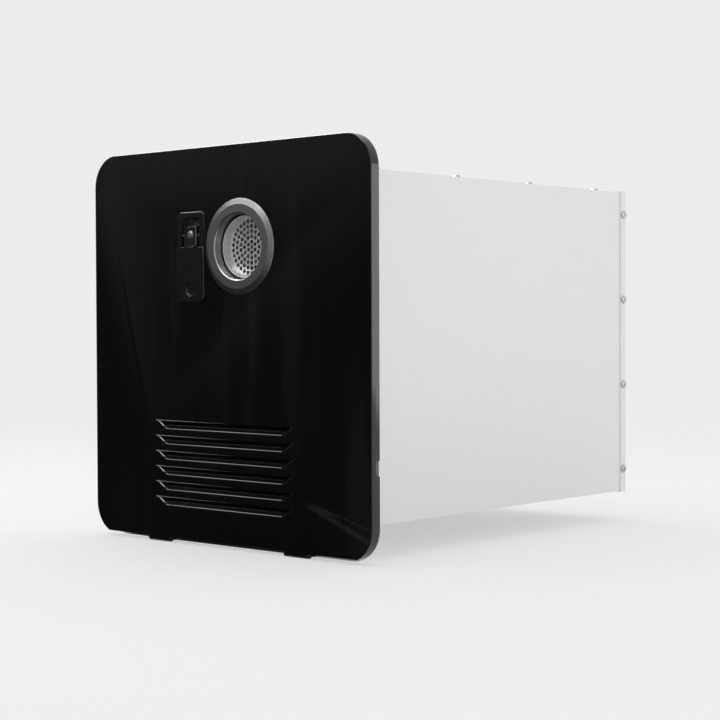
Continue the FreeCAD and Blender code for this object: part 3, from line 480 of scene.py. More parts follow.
@dataclass(frozen=True)
class CoatedSheet(Finish):
    """Pale pre-coated sheet steel, smooth, with faint rolling lines and handling marks."""

    grain: Axis = Axis.Y
    rolling: Range = (3.0, 70.0)
    smears: float = 4.0
    waves: float = 90.0
    relief: float = 0.000004
    specular: float = 0.35

    def dress(self, shader: Shader) -> None:
        """Shades the sheet slightly and rolls fine lines into it."""
        lines = shader.noise(1.0, 1.0, shader.place(scale=self.grain.stretch(*self.rolling)))
        smears = shader.noise(self.smears)
        shader.set(
            Base_Color=shader.mix(smears * 0.6 + lines * 0.2, self.colour, self.toned(0.98)),
            Roughness=smears * 0.05 + self.roughness,
            Specular_IOR_Level=self.specular,
        )
        shader.bump(shader.noise(self.waves, 1.0), self.relief)


@dataclass(frozen=True)
class RolledMetal(Finish):
    """Bare sheet or bar metal with a drawn grain and a few stains."""

    grain: Axis = Axis.X
    drawing: Range = (14.0, 900.0)
    stains: Pattern = Pattern(28.0, 4.0, 0.45, 0.80)
    stain: float = 0.25
    relief: float = 0.00001

    def dress(self, shader: Shader) -> None:
        """Draws the grain along its axis."""
        grain = shader.noise(1.0, 3.0, shader.place(scale=self.grain.stretch(*self.drawing)))
        stains = shader.patches(self.stains)
        stained = self.toned(1.0 - self.stain)
        shader.set(
            Base_Color=shader.mix(stains * 0.7 + grain * 0.3, self.colour, stained),
            Metallic=1.0,
            Roughness=grain * 0.14 + stains * 0.10 + (self.roughness - 0.08),
        )
        shader.bump(grain, self.relief)


@dataclass(frozen=True)
class ZincSheet(Finish):
    """Galvanised sheet with its spangle."""

    spangle: float = 95.0
    spangle_stretch: Point = (1.0, 0.9, 1.1)
    clouds: float = 60.0
    frost: float = 700.0
    relief: float = 0.000006

    def dress(self, shader: Shader) -> None:
        """Gives each crystal its own shade."""
        clouds = shader.noise(self.clouds)
        crystals = shader.cells(self.spangle, "Color", shader.place(scale=self.spangle_stretch))
        shade = shader.node("ShaderNodeSeparateColor", {}, {"Color": crystals}, "Red")
        shader.set(
            Base_Color=shader.mix(shade * 0.75 + clouds * 0.25, self.colour, self.toned(0.78)),
            Metallic=1.0,
            Roughness=shade * 0.16 + clouds * 0.08 + (self.roughness - 0.10),
        )
        shader.bump(shader.noise(self.frost), self.relief)


@dataclass(frozen=True)
class TurnedMetal(Finish):
    """Metal turned on a lathe, with fine rings round an axis along Y."""

    centre: Point = (0.0, 0.0, 0.0)
    rings: float = 2600.0
    ring_slope: float = 0.7
    blotches: Pattern = Pattern(70.0, 3.0, 0.4, 0.8)
    metallic: float = 1.0
    relief: float = 0.000012

    def dress(self, shader: Shader) -> None:
        """Cuts rings by the distance from the axis."""
        flat = shader.place(self.centre, (1.0, 0.0, 1.0))
        radius = shader.node("ShaderNodeVectorMath", {"operation": "LENGTH"}, {0: flat}, "Value")
        depth = shader.split(shader.place(self.centre))[1]
        values = {"W": radius + depth * self.ring_slope, "Scale": self.rings, "Detail": 2.0}
        rings = shader.node("ShaderNodeTexNoise", {"noise_dimensions": "1D"}, values)
        blotches = shader.patches(self.blotches)
        shader.set(
            Base_Color=shader.mix(rings * 0.6 + blotches * 0.4, self.colour, self.toned(0.72)),
            Metallic=self.metallic,
            Roughness=rings * 0.16 + blotches * 0.06 + (self.roughness - 0.10),
        )
        shader.bump(rings, self.relief)


@dataclass(frozen=True)
class Copper(Finish):
    """Copper sheet or tube, with heat tint and dull patches."""

    tint: Colour = (0.30, 0.13, 0.10)
    tint_amount: float = 0.5
    tint_patches: Pattern = Pattern(22.0, 5.0, 0.38, 0.72, 0.6)
    mottle: float = 240.0
    relief: float = 0.00001

    def dress(self, shader: Shader) -> None:
        """Spreads heat tint in soft patches."""
        patches = shader.patches(self.tint_patches)
        mottle = shader.noise(self.mottle, 3.0)
        shader.set(
            Base_Color=shader.mix(patches * self.tint_amount + mottle * 0.12, self.colour, self.tint),
            Metallic=1.0,
            Roughness=patches * 0.16 + mottle * 0.10 + self.roughness,
        )
        shader.bump(mottle, self.relief)


@dataclass(frozen=True)
class Moulding(Finish):
    """Moulded plastic with a fine spark-eroded grain and rubbed spots."""

    grain: float = 1500.0
    rubs: Pattern = Pattern(40.0, 3.0, 0.45, 0.8)
    relief: float = 0.00002
    specular: float = 0.5

    def dress(self, shader: Shader) -> None:
        """Grains the plastic and lets handling polish it in places."""
        rubs = shader.patches(self.rubs)
        grain = shader.noise(self.grain)
        shader.set(
            Base_Color=shader.mix(grain * 0.4 + rubs * 0.2, self.colour, self.toned(1.5, 0.004)),
            Roughness=grain * 0.10 - rubs * 0.08 + self.roughness,
            Specular_IOR_Level=self.specular,
        )
        shader.bump(grain, self.relief)


@dataclass(frozen=True)
class Foam(Finish):
    """Closed-cell foam or pressed fibre, matt, with open pores at the cut faces."""

    pores: float = 1400.0
    clouds: float = 60.0
    relief: float = 0.0002
    specular: float = 0.2

    def dress(self, shader: Shader) -> None:
        """Pits the surface with pores."""
        pits = shader.cells(self.pores)
        clouds = shader.noise(self.clouds, 3.0)
        shader.set(
            Base_Color=shader.mix(clouds * 0.4 + pits * 0.4, self.colour, self.toned(1.9, 0.01)),
            Roughness=pits * 0.1 + self.roughness,
            Specular_IOR_Level=self.specular,
        )
        shader.bump(pits, self.relief)


@dataclass(frozen=True)
class Board(Finish):
    """A lacquered circuit board with its copper tracks under the lacquer."""

    track: Colour = (0.10, 0.30, 0.12)
    grid: float = 160.0
    gap: float = 0.06
    pads: float = 400.0
    pad_edge: Range = (0.16, 0.12)
    lacquer: float = 0.4
    lacquer_roughness: float = 0.1
    relief: float = 0.00003

    def dress(self, shader: Shader) -> None:
        """Draws tracks along a grid."""
        values = {"Vector": shader.place(scale=(self.grid,) * 3), "Mortar Size": self.gap, "Scale": 1.0}
        grid = shader.node("ShaderNodeTexBrick", {"offset": 0.5}, values, "Fac")
        pads = shader.cells(self.pads).span(*self.pad_edge)
        shader.set(
            Base_Color=shader.mix(grid * 0.8 + pads * 0.2, self.colour, self.track),
            Roughness=shader.noise(50.0) * 0.1 + self.roughness,
            Coat_Weight=self.lacquer,
            Coat_Roughness=self.lacquer_roughness,
        )
        shader.bump(grid, self.relief)


# ----------------------------------------------------------------- mesh helpers


def finish_mesh(name: str, mesh: bmesh.types.BMesh, smooth_below: float) -> bpy.types.Object:
    """Turns a bmesh into an object, smooth except at sharp edges.

    Args:
        name: The object's name.
        mesh: The bmesh, which is freed.
        smooth_below: Edges under this angle, in degrees, are shaded smooth.

    Returns:
        The new object.
    """
    bmesh.ops.remove_doubles(mesh, verts=mesh.verts, dist=MERGE_DISTANCE)
    bmesh.ops.recalc_face_normals(mesh, faces=mesh.faces)
    return object_of(name, mesh, smooth_below)


def object_of(name: str, mesh: bmesh.types.BMesh, smooth_below: float) -> bpy.types.Object:
    """Writes a bmesh into a new object as it is.

    Args:
        name: The object's name.
        mesh: The bmesh, which is freed.
        smooth_below: Edges under this angle, in degrees, are shaded smooth.

    Returns:
        The new object.
    """
    limit = math.radians(smooth_below)
    for face in mesh.faces:
        face.smooth = True
    for edge in mesh.edges:
        edge.smooth = len(edge.link_faces) == 2 and edge.calc_face_angle(0.0) < limit
    data = bpy.data.meshes.new(name)
    mesh.to_mesh(data)
    mesh.free()
    made = bpy.data.objects.new(name, data)
    bpy.context.scene.collection.objects.link(made)
    return made


def lathe(
    mesh: bmesh.types.BMesh,
    profile: Sequence[tuple[float, float]],
    steps: int,
) -> list[bmesh.types.BMVert]:
    """Spins a profile about Z. It is closed first where neither end lies on the axis.

    Args:
        mesh: The bmesh that takes the form.
        profile: Radius and height pairs, in metres. A zero radius lies on the axis.
        steps: Faces round the axis.

    Returns:
        The new vertices.
    """
    before = set(mesh.verts)
    verts = [mesh.verts.new((radius, 0.0, height)) for radius, height in profile]
    edges = [mesh.edges.new(pair) for pair in zip(verts, verts[1:])]
    if profile[0][0] > 0 and profile[-1][0] > 0 and profile[0] != profile[-1]:
        edges.append(mesh.edges.new((verts[-1], verts[0])))
    bmesh.ops.spin(
        mesh,
        geom=verts + edges,
        cent=(0, 0, 0),
        axis=(0, 0, 1),
        angle=math.tau,
        steps=steps,
        use_merge=True,
    )
    made = [vert for vert in mesh.verts if vert not in before]
    bmesh.ops.remove_doubles(mesh, verts=made, dist=MERGE_DISTANCE)
    return [vert for vert in mesh.verts if vert not in before]


def move_to(
    mesh: bmesh.types.BMesh,
    verts: Iterable[bmesh.types.BMVert],
    seat: Point,
    direction: Point,
) -> None:
    """Takes a form from the Z axis to its own axis.

    Args:
        mesh: The bmesh.
        verts: The form's vertices.
        seat: Where its origin goes.
        direction: Where its Z axis points.
    """
    turn = Vector((0.0, 0.0, 1.0)).rotation_difference(Vector(direction)).to_matrix().to_4x4()
    bmesh.ops.transform(mesh, matrix=Matrix.Translation(seat) @ turn, verts=list(verts))


@dataclass(frozen=True)
class Screw:
    """A pan-head screw with a cross recess."""

    head: float = 0.0044
    height: float = 0.0023
    shank: float = 0.0019
    length: float = 0.007
    arm: float = 0.0021
    slot: float = 0.0005
    depth: float = 0.0015
    taper: float = 0.62
    pan: tuple[Range, ...] = ((1.0, 0.0), (1.0, 0.35), (0.93, 0.62), (0.78, 0.86), (0.58, 1.0))
    steps: int = 24

    def cross(self, mesh: bmesh.types.BMesh, scale: float, height: float) -> list[bmesh.types.BMVert]:
        """Lays a cross-shaped ring of points.

        Args:
            mesh: The bmesh.
            scale: Its size against the recess's mouth.
            height: Its height over the seat.

        Returns:
            The ring's points in order.
        """
        arm, slot = self.arm * scale, self.slot
        quarter = ((arm, -slot), (arm, slot), (slot, slot))
        ring = []
        for cos, sin in ((1, 0), (0, 1), (-1, 0), (0, -1)):
            ring += [mesh.verts.new((x * cos - y * sin, x * sin + y * cos, height)) for x, y in quarter]
        return ring

    def model(self, mesh: bmesh.types.BMesh, seat: Point, direction: Point) -> None:
        """Adds the screw.

        Args:
            mesh: The bmesh that takes it.
            seat: Where its head rests.
            direction: Where its head points.
        """
        top = self.height
        shank = ((0.0, -self.length), (self.shank, -self.length), (self.shank, 0.0))
        pan = tuple((self.head * width, top * rise) for width, rise in self.pan)
        made = set(lathe(mesh, shank + pan, self.steps))
        mouth = self.cross(mesh, 1.0, top)
        floor = self.cross(mesh, self.taper, top - self.depth)
        for here in range(len(mouth)):
            after = (here + 1) % len(mouth)
            mesh.faces.new((mouth[here], mouth[after], floor[after], floor[here]))
        mesh.faces.new(floor)
        made |= set(mouth) | set(floor)
        rim = [
            edge
            for edge in mesh.edges
            if all(vert in made and abs(vert.co.z - top) < MERGE_DISTANCE for vert in edge.verts)
        ]
        bmesh.ops.triangle_fill(mesh, edges=rim, use_beauty=True, use_dissolve=False, normal=(0.0, 0.0, 1.0))
        move_to(mesh, made, seat, direction)


@dataclass(frozen=True)
class Nipple:
    """A threaded pipe end with its shoulder, bore and inner hexagon, about an axis along +Y.

    Heights are measured along the axis from its start inside the cabinet.
    """

    x: float
    z: float
    crest: float
    pitch: float
    shoulder: float = 0.012
    shoulder_heights: Range = (0.011, 0.019)
    thread_heights: Range = (0.0194, 0.0384)
    core_low: float = 0.0192
    end: float = 0.039
    chamfer: float = 0.0004
    bore_floor: float = 0.010
    wall: float = 0.003
    start: float = 0.4305
    corner: float = 0.016
    corner_bevel: float = 0.001
    corner_heights: Range = (0.003, 0.012)
    overlap: float = 0.0005
    sink: float = 0.0002
    round_steps: int = 40
    turn_steps: int = 20

    def model(self, mesh: bmesh.types.BMesh) -> None:
        """Adds the fitting.

        Args:
            mesh: The bmesh that takes it.
        """
        before = set(mesh.verts)
        core, bore = self.crest - self.pitch * 0.55, self.crest - self.wall
        shoulder_low, shoulder_high = self.shoulder_heights
        thread_low, thread_high = self.thread_heights
        profile = (
            (0.0, 0.0),
            (self.crest, 0.0),
            (self.crest, shoulder_low),
            (self.shoulder, shoulder_low),
            (self.shoulder, shoulder_high),
            (core, self.core_low),
            (core, thread_high),
            (core - self.chamfer, self.end),
            (bore, self.end),
            (bore, self.bore_floor),
            (0.0, self.bore_floor),
        )
        lathe(mesh, profile, self.round_steps)
        inner = self.crest - self.overlap
        low, high = self.corner_heights
        hexagon = (
            (inner, low),
            (self.corner - self.corner_bevel, low),
            (self.corner, low + self.corner_bevel),
            (self.corner, high),
            (inner, high),
        )
        lathe(mesh, hexagon, 6)
        self.thread(mesh, core - self.sink, thread_low, thread_high)
        made = [vert for vert in mesh.verts if vert not in before]
        move_to(mesh, made, (self.x, self.start, self.z), (0.0, 1.0, 0.0))

    def thread(self, mesh: bmesh.types.BMesh, root: float, low: float, high: float) -> None:
        """Winds the thread's ridge.

        Args:
            mesh: The bmesh.
            root: The ridge's inner radius.
            low: Where the thread starts.
            high: Where it ends.
        """
        flank = self.pitch * 0.45
        turns = int((high - low - 2 * flank) / self.pitch)
        section = (
            (root, low),
            (self.crest, low + flank * 0.85),
            (self.crest, low + flank * 1.15),
            (root, low + flank * 2),
        )
        verts = [mesh.verts.new((radius, 0.0, height)) for radius, height in section]
        face = mesh.faces.new(verts)
        bmesh.ops.spin(
            mesh,
            geom=[face] + list(face.edges) + verts,
            cent=(0, 0, 0),
            axis=(0, 0, 1),
            dvec=(0.0, 0.0, self.pitch / self.turn_steps),
            angle=turns * math.tau,
            steps=turns * self.turn_steps,
        )


def softened(
    node: str,
    frame: dict[str, Any],
    width: float,
    angle: float = 30.0,
    segments: int = 2,
    smooth_below: float = 40.0,
    front: float = 1.0,
) -> bpy.types.Object:
    """Copies a node with its sharp edges rounded, and stands for it.

    Args:
        node: The node's name.
        frame: The loaded frame.
        width: Width of the rounding, in metres.
        angle: Least angle that is rounded, in degrees.
        segments: Faces across the rounding.
        smooth_below: Edges under this angle, in degrees, are shaded smooth.
        front: Only edges whose ends both lie in front of this Y are rounded.

    Returns:
        The new piece.
    """
    weld, flat = 1e-6, math.radians(0.6)
    mesh = bmesh.new()
    mesh.from_mesh(frame["nodes"][node].data)
    bmesh.ops.remove_doubles(mesh, verts=mesh.verts, dist=weld)
    bmesh.ops.dissolve_limit(mesh, angle_limit=flat, verts=mesh.verts, edges=mesh.edges)
    weight = mesh.edges.layers.float.new("bevel_weight_edge")
    limit = math.radians(angle)
    for edge in mesh.edges:
        sharp = len(edge.link_faces) == 2 and edge.calc_face_angle(0.0) > limit
        edge[weight] = float(sharp and all(vert.co.y < front for vert in edge.verts))
    piece = object_of(node + "_soft", mesh, smooth_below)
    bevel = piece.modifiers.new("rounding", "BEVEL")
    bevel.width = width
    bevel.segments = segments
    bevel.limit_method = "WEIGHT"
    bevel.use_clamp_overlap = False
    bevel.harden_normals = True
    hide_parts(node)
    return piece


# --------------------------------------------------------------- sub-assemblies


@dataclass
class SubAssembly:
    """A group of pieces that share a body and are dressed together."""

    frame: dict[str, Any]
    body: Body = Body.CABINET
    pieces: list[bpy.types.Object] = field(default_factory=list)

    def dress(self, finish: Finish, nodes: Iterable[str]) -> None:
        """Gives nodes of the frame a finish.

        Args:
            finish: The finish.
            nodes: The nodes' names.
        """
        material = finish.material()
        for node in nodes:
            data = self.frame["nodes"][node].data
            data.materials.clear()
            data.materials.append(material)

    def add(self, piece: bpy.types.Object, material: bpy.types.Material, slot: str) -> None:
        """Gives a new piece its material and body.

        Args:
            piece: The piece.
            material: Its material.
            slot: Not used.
        """
        piece.data.materials.clear()
        piece.data.materials.append(material)
        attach(piece, self.body.value)
        self.pieces.append(piece)

    def build(self) -> None:
        """Builds and dresses the sub-assembly."""
        raise NotImplementedError


@dataclass
class Door(SubAssembly):
    """The black outer door and its collar."""

    body: Body = Body.DOOR

    def build(self) -> None:
        """Rounds and dresses the panel and the collar."""
        paint = GlossPaint(
            "door_gloss_black",
            (0.0024, 0.0024, 0.0026),
            0.10,
            dust=0.45,
            dust_colour=(0.16, 0.16, 0.16),
            specular=0.6,
        )
        panel = softened("door_panel", self.frame, 0.0005, segments=3, front=-0.0125)
        self.add(panel, paint.material(), "door_paint")
        alloy = TurnedMetal("collar_dark_alloy", (0.42, 0.42, 0.425), 0.38, EXHAUST_CENTRE)
        collar = softened(
            "exhaust_collar", self.frame, 0.0004, angle=20.0, segments=3, smooth_below=18.0, front=-0.0125
        )
        self.add(collar, alloy.material(), "collar_metal")
        self.dress(RolledMetal("retainer_steel", (0.5, 0.5, 0.5), 0.35), ["collar_retainer"])


@dataclass
class Latch(SubAssembly):
    """The door's latch: housing, lever, hook and rivet."""

    body: Body = Body.DOOR

    def build(self) -> None:
        """Rounds and dresses the mouldings and the steel parts."""
        plastic = Moulding("latch_black_moulding", (0.0055, 0.0055, 0.0057), 0.15).material()
        housing = softened("latch_housing", self.frame, 0.0010, segments=4, front=-0.0142)
        self.add(housing, plastic, "latch_plastic")
        self.body = Body.LATCH
        lever = softened("latch_lever", self.frame, 0.0009, segments=4, front=-0.01485)
        self.add(lever, plastic, "latch_plastic")
        self.dress(RolledMetal("latch_steel", (0.52, 0.52, 0.52), 0.30), ["latch_rivet", "latch_pin"])
        # Painted shade: the hook, spring and clip are darkened so that the latch pocket, where they show, reads
        # dark.
        spring_steel_painted_shade = RolledMetal("spring_steel_painted_shade", (0.24, 0.24, 0.25), 0.40)
        self.dress(spring_steel_painted_shade, ["latch_hook", "latch_spring", "keeper_clip"])


@dataclass
class Cabinet(SubAssembly):
    """The pale cabinet, its frame in the wall and its screws."""

    cover_seat: float = 0.164
    cover_side: float = 0.155
    cover_rows: tuple[float, ...] = (0.0337, 0.1536, 0.2735, 0.3934)
    back_seat: float = 0.163
    back_row: float = 0.4385
    back_rises: tuple[float, ...] = (-0.13965, -0.04655, 0.04655, 0.13965)
    lid_seat: float = -0.109
    lid_rows: tuple[float, ...] = (0.074, 0.228)
    lid_rises: tuple[float, ...] = (-0.0531, 0.0509)
    ear_front: float = -0.0013
    ear_top: float = -0.18

    def build(self) -> None:
        """Dresses the sheets and models the screws."""
        pale = CoatedSheet("cabinet_pale_coat", (0.74, 0.74, 0.74), 0.24)
        self.dress(pale, ["cabinet_wrap", "top_cover", "back_panel"])
        self.wall_frame()
        self.dress(RolledMetal("pin_blackened", (0.03, 0.03, 0.03), 0.35), ["hinge_pins"])
        self.dress(Foam("seal_foam", (0.02, 0.02, 0.02), 0.85), ["door_seal"])
        self.dress(ZincSheet("bulkhead_zinc", (0.62, 0.63, 0.64), 0.36), ["upper_bulkhead"])
        nickel = RolledMetal("screw_nickel", (0.52, 0.52, 0.52), 0.27).material()
        sides = (-1.0, 1.0)
        cover = [
            ((side * self.cover_side, y, self.cover_seat), (0.0, 0.0, 1.0))
            for side in sides
            for y in self.cover_rows
        ]
        back = [
            ((side * self.back_seat, self.back_row, z), (side, 0.0, 0.0))
            for side in sides
            for z in self.back_rises
        ]
        lid = [((self.lid_seat, y, z), (1.0, 0.0, 0.0)) for y in self.lid_rows for z in self.lid_rises]
        small = Screw(
            head=0.0028, height=0.0016, shank=0.0015, length=0.002, arm=0.0014, slot=0.00035, depth=0.001
        )
        self.screws("cover_screws", Screw(), nickel, cover)
        self.screws("back_screws", Screw(), nickel, back)
        self.screws("lid_screws", small, nickel, lid)

    def wall_frame(self) -> None:
        """Rounds the wall frame's edges and paints its hinge ears black like the door."""
        frame = softened("mounting_frame", self.frame, 0.0003, front=0.0001)
        pale = CoatedSheet("frame_pale_coat", (0.78, 0.78, 0.78), 0.26, Axis.X)
        black = GlossPaint("ear_gloss_black", (0.003, 0.003, 0.003), 0.2)
        self.add(frame, pale.material(), "frame_paint")
        frame.data.materials.append(black.material())
        for face in frame.data.polygons:
            if face.center.y < self.ear_front and face.center.z < self.ear_top:
                face.material_index = 1

    def screws(
        self,
        node: str,
        screw: Screw,
        material: bpy.types.Material,
        places: Iterable[tuple[Point, Point]],
    ) -> None:
        """Models a node's screws.

        Args:
            node: The node that they stand for.
            screw: Their size.
            material: Their material.
            places: A seat and a direction for each.
        """
        mesh = bmesh.new()
        for seat, direction in places:
            screw.model(mesh, seat, direction)
        piece = finish_mesh(node + "_cross", mesh, 35.0)
        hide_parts(node)
        self.add(piece, material, "screw_metal")


@dataclass
class Exhaust(SubAssembly):
    """The outlet tube, its guard and the hood behind."""

    def build(self) -> None:
        """Dresses the stainless parts."""
        guard = TurnedMetal("guard_stainless", (0.72, 0.72, 0.71), 0.38, EXHAUST_CENTRE, metallic=0.7)
        self.dress(guard, ["exhaust_guard"])
        outlet = TurnedMetal("outlet_stainless", (0.84, 0.84, 0.83), 0.40, EXHAUST_CENTRE, metallic=0.62)
        tube = softened("exhaust_tube", self.frame, 0.0003, segments=3, front=0.0)
        self.add(tube, outlet.material(), "stainless")
        self.dress(Foam("fibre_gasket", (0.26, 0.25, 0.22), 0.9), ["exhaust_gasket"])
        self.dress(ZincSheet("hood_zinc", (0.58, 0.59, 0.60), 0.38), ["flue_hood"])


@dataclass
class Burner(SubAssembly):
    """The burner, heat exchanger and fan."""

    def build(self) -> None:
        """Dresses the hot parts."""
        copper = Copper("exchanger_copper", (0.72, 0.36, 0.23), 0.26)
        self.dress(copper, ["exchanger_shell", "exchanger_fins", "exchanger_coil"])
        zinc = ZincSheet("burner_zinc", (0.60, 0.61, 0.62), 0.36)
        self.dress(zinc, ["burner_box", "air_plenum", "base_rails", "fan_housing"])
        steel = RolledMetal("burner_steel", (0.40, 0.38, 0.35), 0.38, stain=0.45)
        self.dress(steel, ["burner_bars", "spark_electrodes"])
        self.dress(RolledMetal("nozzle_brass", (0.66, 0.49, 0.22), 0.28), ["gas_manifold"])
        black = Moulding("fan_motor_black", (0.02, 0.02, 0.02), 0.45)
        self.dress(black, ["fan_motor", "ignition_transformer", "overheat_switches"])
        self.dress(RolledMetal("shaft_steel", (0.6, 0.6, 0.6), 0.22), ["fan_shaft"])
        self.dress(Moulding("fan_grey", (0.12, 0.12, 0.125), 0.5), ["fan_wheel"])


@dataclass
class Piping(SubAssembly):
    """Gas and water lines with their fittings."""

    def build(self) -> None:
        """Dresses the lines."""
        copper = Copper("tube_copper", (0.76, 0.40, 0.26), 0.22, tint_amount=0.3)
        self.dress(copper, ["cold_pipe", "hot_pipe", "gas_inlet_pipe", "gas_feed_pipe"])
        brass = RolledMetal("fitting_brass", (0.70, 0.53, 0.24), 0.24, grain=Axis.Y, stain=0.18)
        self.dress(brass, ["fitting_nuts", "flow_sensor"])
        threaded = brass.material()
        for node, nipple in (
            ("water_inlet_fitting", Nipple(0.125, -0.125, crest=0.0105, pitch=0.00181)),
            ("water_outlet_fitting", Nipple(0.125, 0.0469, crest=0.0105, pitch=0.00181)),
            ("gas_inlet_fitting", Nipple(-0.125, -0.120, crest=0.0079, pitch=0.00141)),
        ):
            mesh = bmesh.new()
            nipple.model(mesh)
            piece = finish_mesh(node + "_threaded", mesh, 35.0)
            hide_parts(node)
            self.add(piece, threaded, "brass")
        self.dress(RolledMetal("valve_alloy", (0.62, 0.62, 0.62), 0.42), ["gas_valve"])
        self.dress(Moulding("coil_black", (0.02, 0.02, 0.022), 0.4), ["gas_solenoids"])
        self.dress(ZincSheet("bracket_zinc", (0.60, 0.61, 0.62), 0.34), ["valve_bracket"])


@dataclass
class Controls(SubAssembly):
    """The control box, its board, switch and gland."""

    def build(self) -> None:
        """Dresses the mouldings and the board."""
        self.dress(Moulding("control_grey", (0.46, 0.46, 0.45), 0.45), ["control_box", "control_lid"])
        self.dress(Moulding("switch_black", (0.012, 0.012, 0.012), 0.28), ["power_switch_body", "power_rocker"])
        self.dress(Moulding("gland_black", (0.015, 0.015, 0.015), 0.42), ["cable_gland"])
        self.dress(Board("board_green", (0.02, 0.10, 0.035), 0.35), ["circuit_board"])


# ----------------------------------------------------------------------- studio


@dataclass(frozen=True)
class Lamp:
    """A soft rectangular lamp. Its radiance is how bright its face is, where 1 is white."""

    name: str
    place: Point
    aim: Point
    size: tuple[float, float]
    radiance: float

    def hang(self) -> None:
        """Hangs the lamp where it belongs and turns it to its aim."""
        width, height = self.size
        light = bpy.data.lights.new(self.name, "AREA")
        light.shape = "RECTANGLE"
        light.size, light.size_y = width, height
        light.energy = self.radiance * math.pi * width * height
        lamp = bpy.data.objects.new(self.name, light)
        lamp.location = self.place
        lamp.rotation_euler = (Vector(self.aim) - Vector(self.place)).to_track_quat("-Z", "Y").to_euler()
        bpy.context.scene.collection.objects.link(lamp)


@dataclass(frozen=True)
class Card:
    """A bright round card far off, which only mirrored rays meet.

    Its edge is the cosine of its radius seen from the heater, and 1 is white.
    """

    way: Point
    edge: float
    radiance: float
    blend: float = 0.015


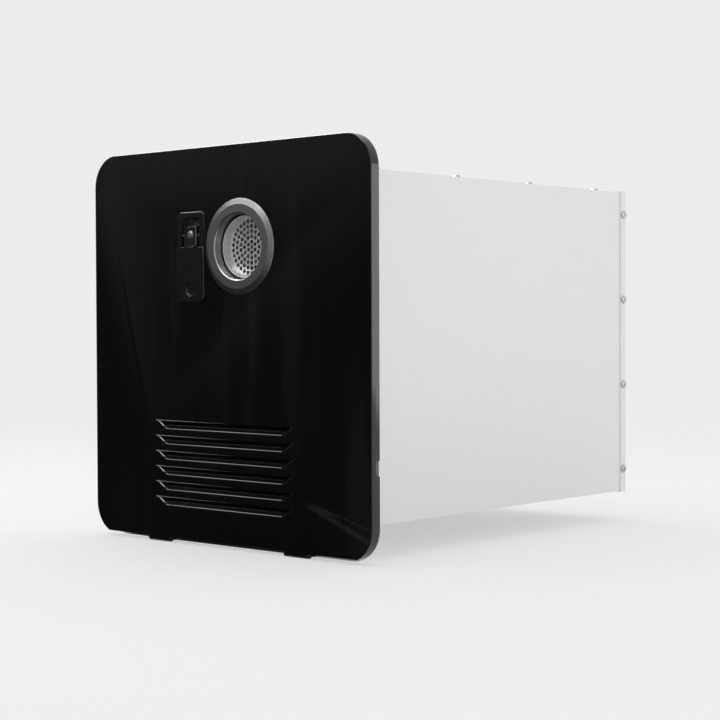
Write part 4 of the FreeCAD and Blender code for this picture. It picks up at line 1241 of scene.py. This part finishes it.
@dataclass
class Studio:
    """The pale sweep, the soft lights and the camera.

    A dark flag stands in front on the left, where the door mirrors it, and two bright cards hang higher, where the
    rounded edges do. Only mirrored rays meet them. A Range says where a mask starts and where it is full.
    """

    floor_z: float = -0.1961
    floor_radius: float = 9.0
    floor_colour: Colour = (0.86, 0.86, 0.86)
    floor_glow: float = 0.6
    floor_far: Range = (0.5, 2.2)
    floor_flag_x: Range = (0.40, 0.20)
    floor_flag_y: Range = (-0.010, -0.016)
    backdrop: float = 0.84
    ambient: float = 0.80
    flag: float = 0.02
    flag_way: tuple[float, float] = (-0.69, -0.72)
    flag_facing: Range = (0.48, 0.62)
    glow_low: Range = (0.02, 0.13)
    glow_high: Range = (0.34, 0.22)
    glow_share: float = 0.16
    cards: tuple[Card, ...] = (
        Card((-0.66, 0.08, 0.75), 0.968, 20.0),
        Card((-0.12, -0.58, 0.80), 0.960, 9.0),
    )
    lamps: tuple[Lamp, ...] = (
        Lamp("overhead", (-0.2, 0.1, 2.4), (0.0, 0.2, 0.0), (2.2, 2.2), 0.85),
        Lamp("side", (2.3, 1.9, 0.25), (0.1, 0.2, 0.0), (2.1, 0.95), 1.6),
        Lamp("front_strip", (-1.73, -1.42, 1.20), (0.0, 0.0, 0.0), (0.9, 0.55), 4.5),
        Lamp("rear_strip", (-1.6, 0.75, 1.75), (0.0, 0.1, 0.0), (1.5, 0.8), 2.5),
    )
    camera_place: Point = (1.185713, -1.147946, 0.026223)
    yaw: float = 41.633
    pitch: float = -1.387
    roll: float = 0.198
    focal_pixels: float = 1694.68
    image_pixels: float = 720.0
    sensor: float = 36.0
    far_clip: float = 50.0

    def floor(self) -> None:
        """Lays the floor, which turns into the backdrop some way behind the heater."""
        mesh = bmesh.new()
        bmesh.ops.create_circle(mesh, cap_ends=True, segments=96, radius=self.floor_radius)
        bmesh.ops.translate(mesh, vec=(0.0, 0.0, self.floor_z), verts=mesh.verts)
        sweep = finish_mesh("floor", mesh, 40.0)
        shader = Shader("floor_pale")
        shader.set(Base_Color=self.floor_colour, Roughness=0.85, Specular_IOR_Level=0.1)
        x, y, _ = shader.split(shader.place())
        reach = shader.math("SQRT", x * x + y * y)
        shade = y.span(*self.floor_flag_y) * x.span(*self.floor_flag_x) * shader.mirrored()
        shown = shader.mix(shade, (self.backdrop,) * 3, (self.flag,) * 3)
        glow = shader.node("ShaderNodeEmission", {}, {"Color": shown})
        lit = Wire(shader, shader.surface.outputs[0])
        far = shader.math("MAXIMUM", reach.span(*self.floor_far, self.floor_glow), shade) * shader.seen()
        mixed = shader.node("ShaderNodeMixShader", {}, {0: far, 1: lit, 2: glow})
        shader.feed(shader.tree.nodes["Material Output"].inputs["Surface"], mixed)
        sweep.data.materials.append(shader.material)

    def world(self) -> None:
        """Surrounds the scene with the pale backdrop, the dark flag and the bright cards."""
        world = bpy.data.worlds.new("studio")
        world.use_nodes = True
        bpy.context.scene.world = world
        sky = Graph(world.node_tree)
        x, y, z = sky.split(sky.node("ShaderNodeTexCoord", {}, {}, "Generated"))
        facing = (x * self.flag_way[0] + y * self.flag_way[1]).span(*self.flag_facing)
        glow = z.span(*self.glow_low) * z.span(*self.glow_high)
        shade = facing * (1.0 - glow * self.glow_share) * sky.mirrored()
        shown = sky.mix(shade, (self.backdrop,) * 3, (self.flag,) * 3)
        for card in self.cards:
            cosine = x * card.way[0] + y * card.way[1] + z * card.way[2]
            mask = cosine.span(card.edge, card.edge + card.blend) * sky.mirrored()
            shown = sky.mix(mask, shown, (card.radiance,) * 3)
        colour = sky.mix(sky.seen(), (self.ambient,) * 3, shown)
        sky.feed(sky.tree.nodes["Background"].inputs["Color"], colour)

    def camera(self) -> None:
        """Sets the camera where the photograph was taken from."""
        data = bpy.data.cameras.new("camera")
        data.sensor_width = self.sensor
        data.lens = self.focal_pixels / self.image_pixels * self.sensor
        data.clip_end = self.far_clip
        camera = bpy.data.objects.new("camera", data)
        turn = (
            Matrix.Rotation(math.radians(self.yaw), 4, "Z")
            @ Matrix.Rotation(math.radians(90.0 + self.pitch), 4, "X")
            @ Matrix.Rotation(math.radians(-self.roll), 4, "Z")
        )
        camera.matrix_world = Matrix.Translation(self.camera_place) @ turn
        bpy.context.scene.collection.objects.link(camera)
        bpy.context.scene.camera = camera

    def build(self) -> None:
        """Sets up the whole studio."""
        self.floor()
        self.world()
        self.camera()
        for lamp in self.lamps:
            lamp.hang()
        bpy.context.scene.view_settings.view_transform = "Standard"


def main() -> None:
    """Builds the heater's looks round the frame."""
    logging.basicConfig(level=logging.INFO, format="%(name)s: %(message)s")
    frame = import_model()
    for assembly in (Door, Latch, Cabinet, Exhaust, Burner, Piping, Controls):
        part = assembly(frame)
        part.build()
        LOG.info("%s: %d new pieces", assembly.__name__, len(part.pieces))
    Studio().build()


if __name__ == "__main__":
    main()
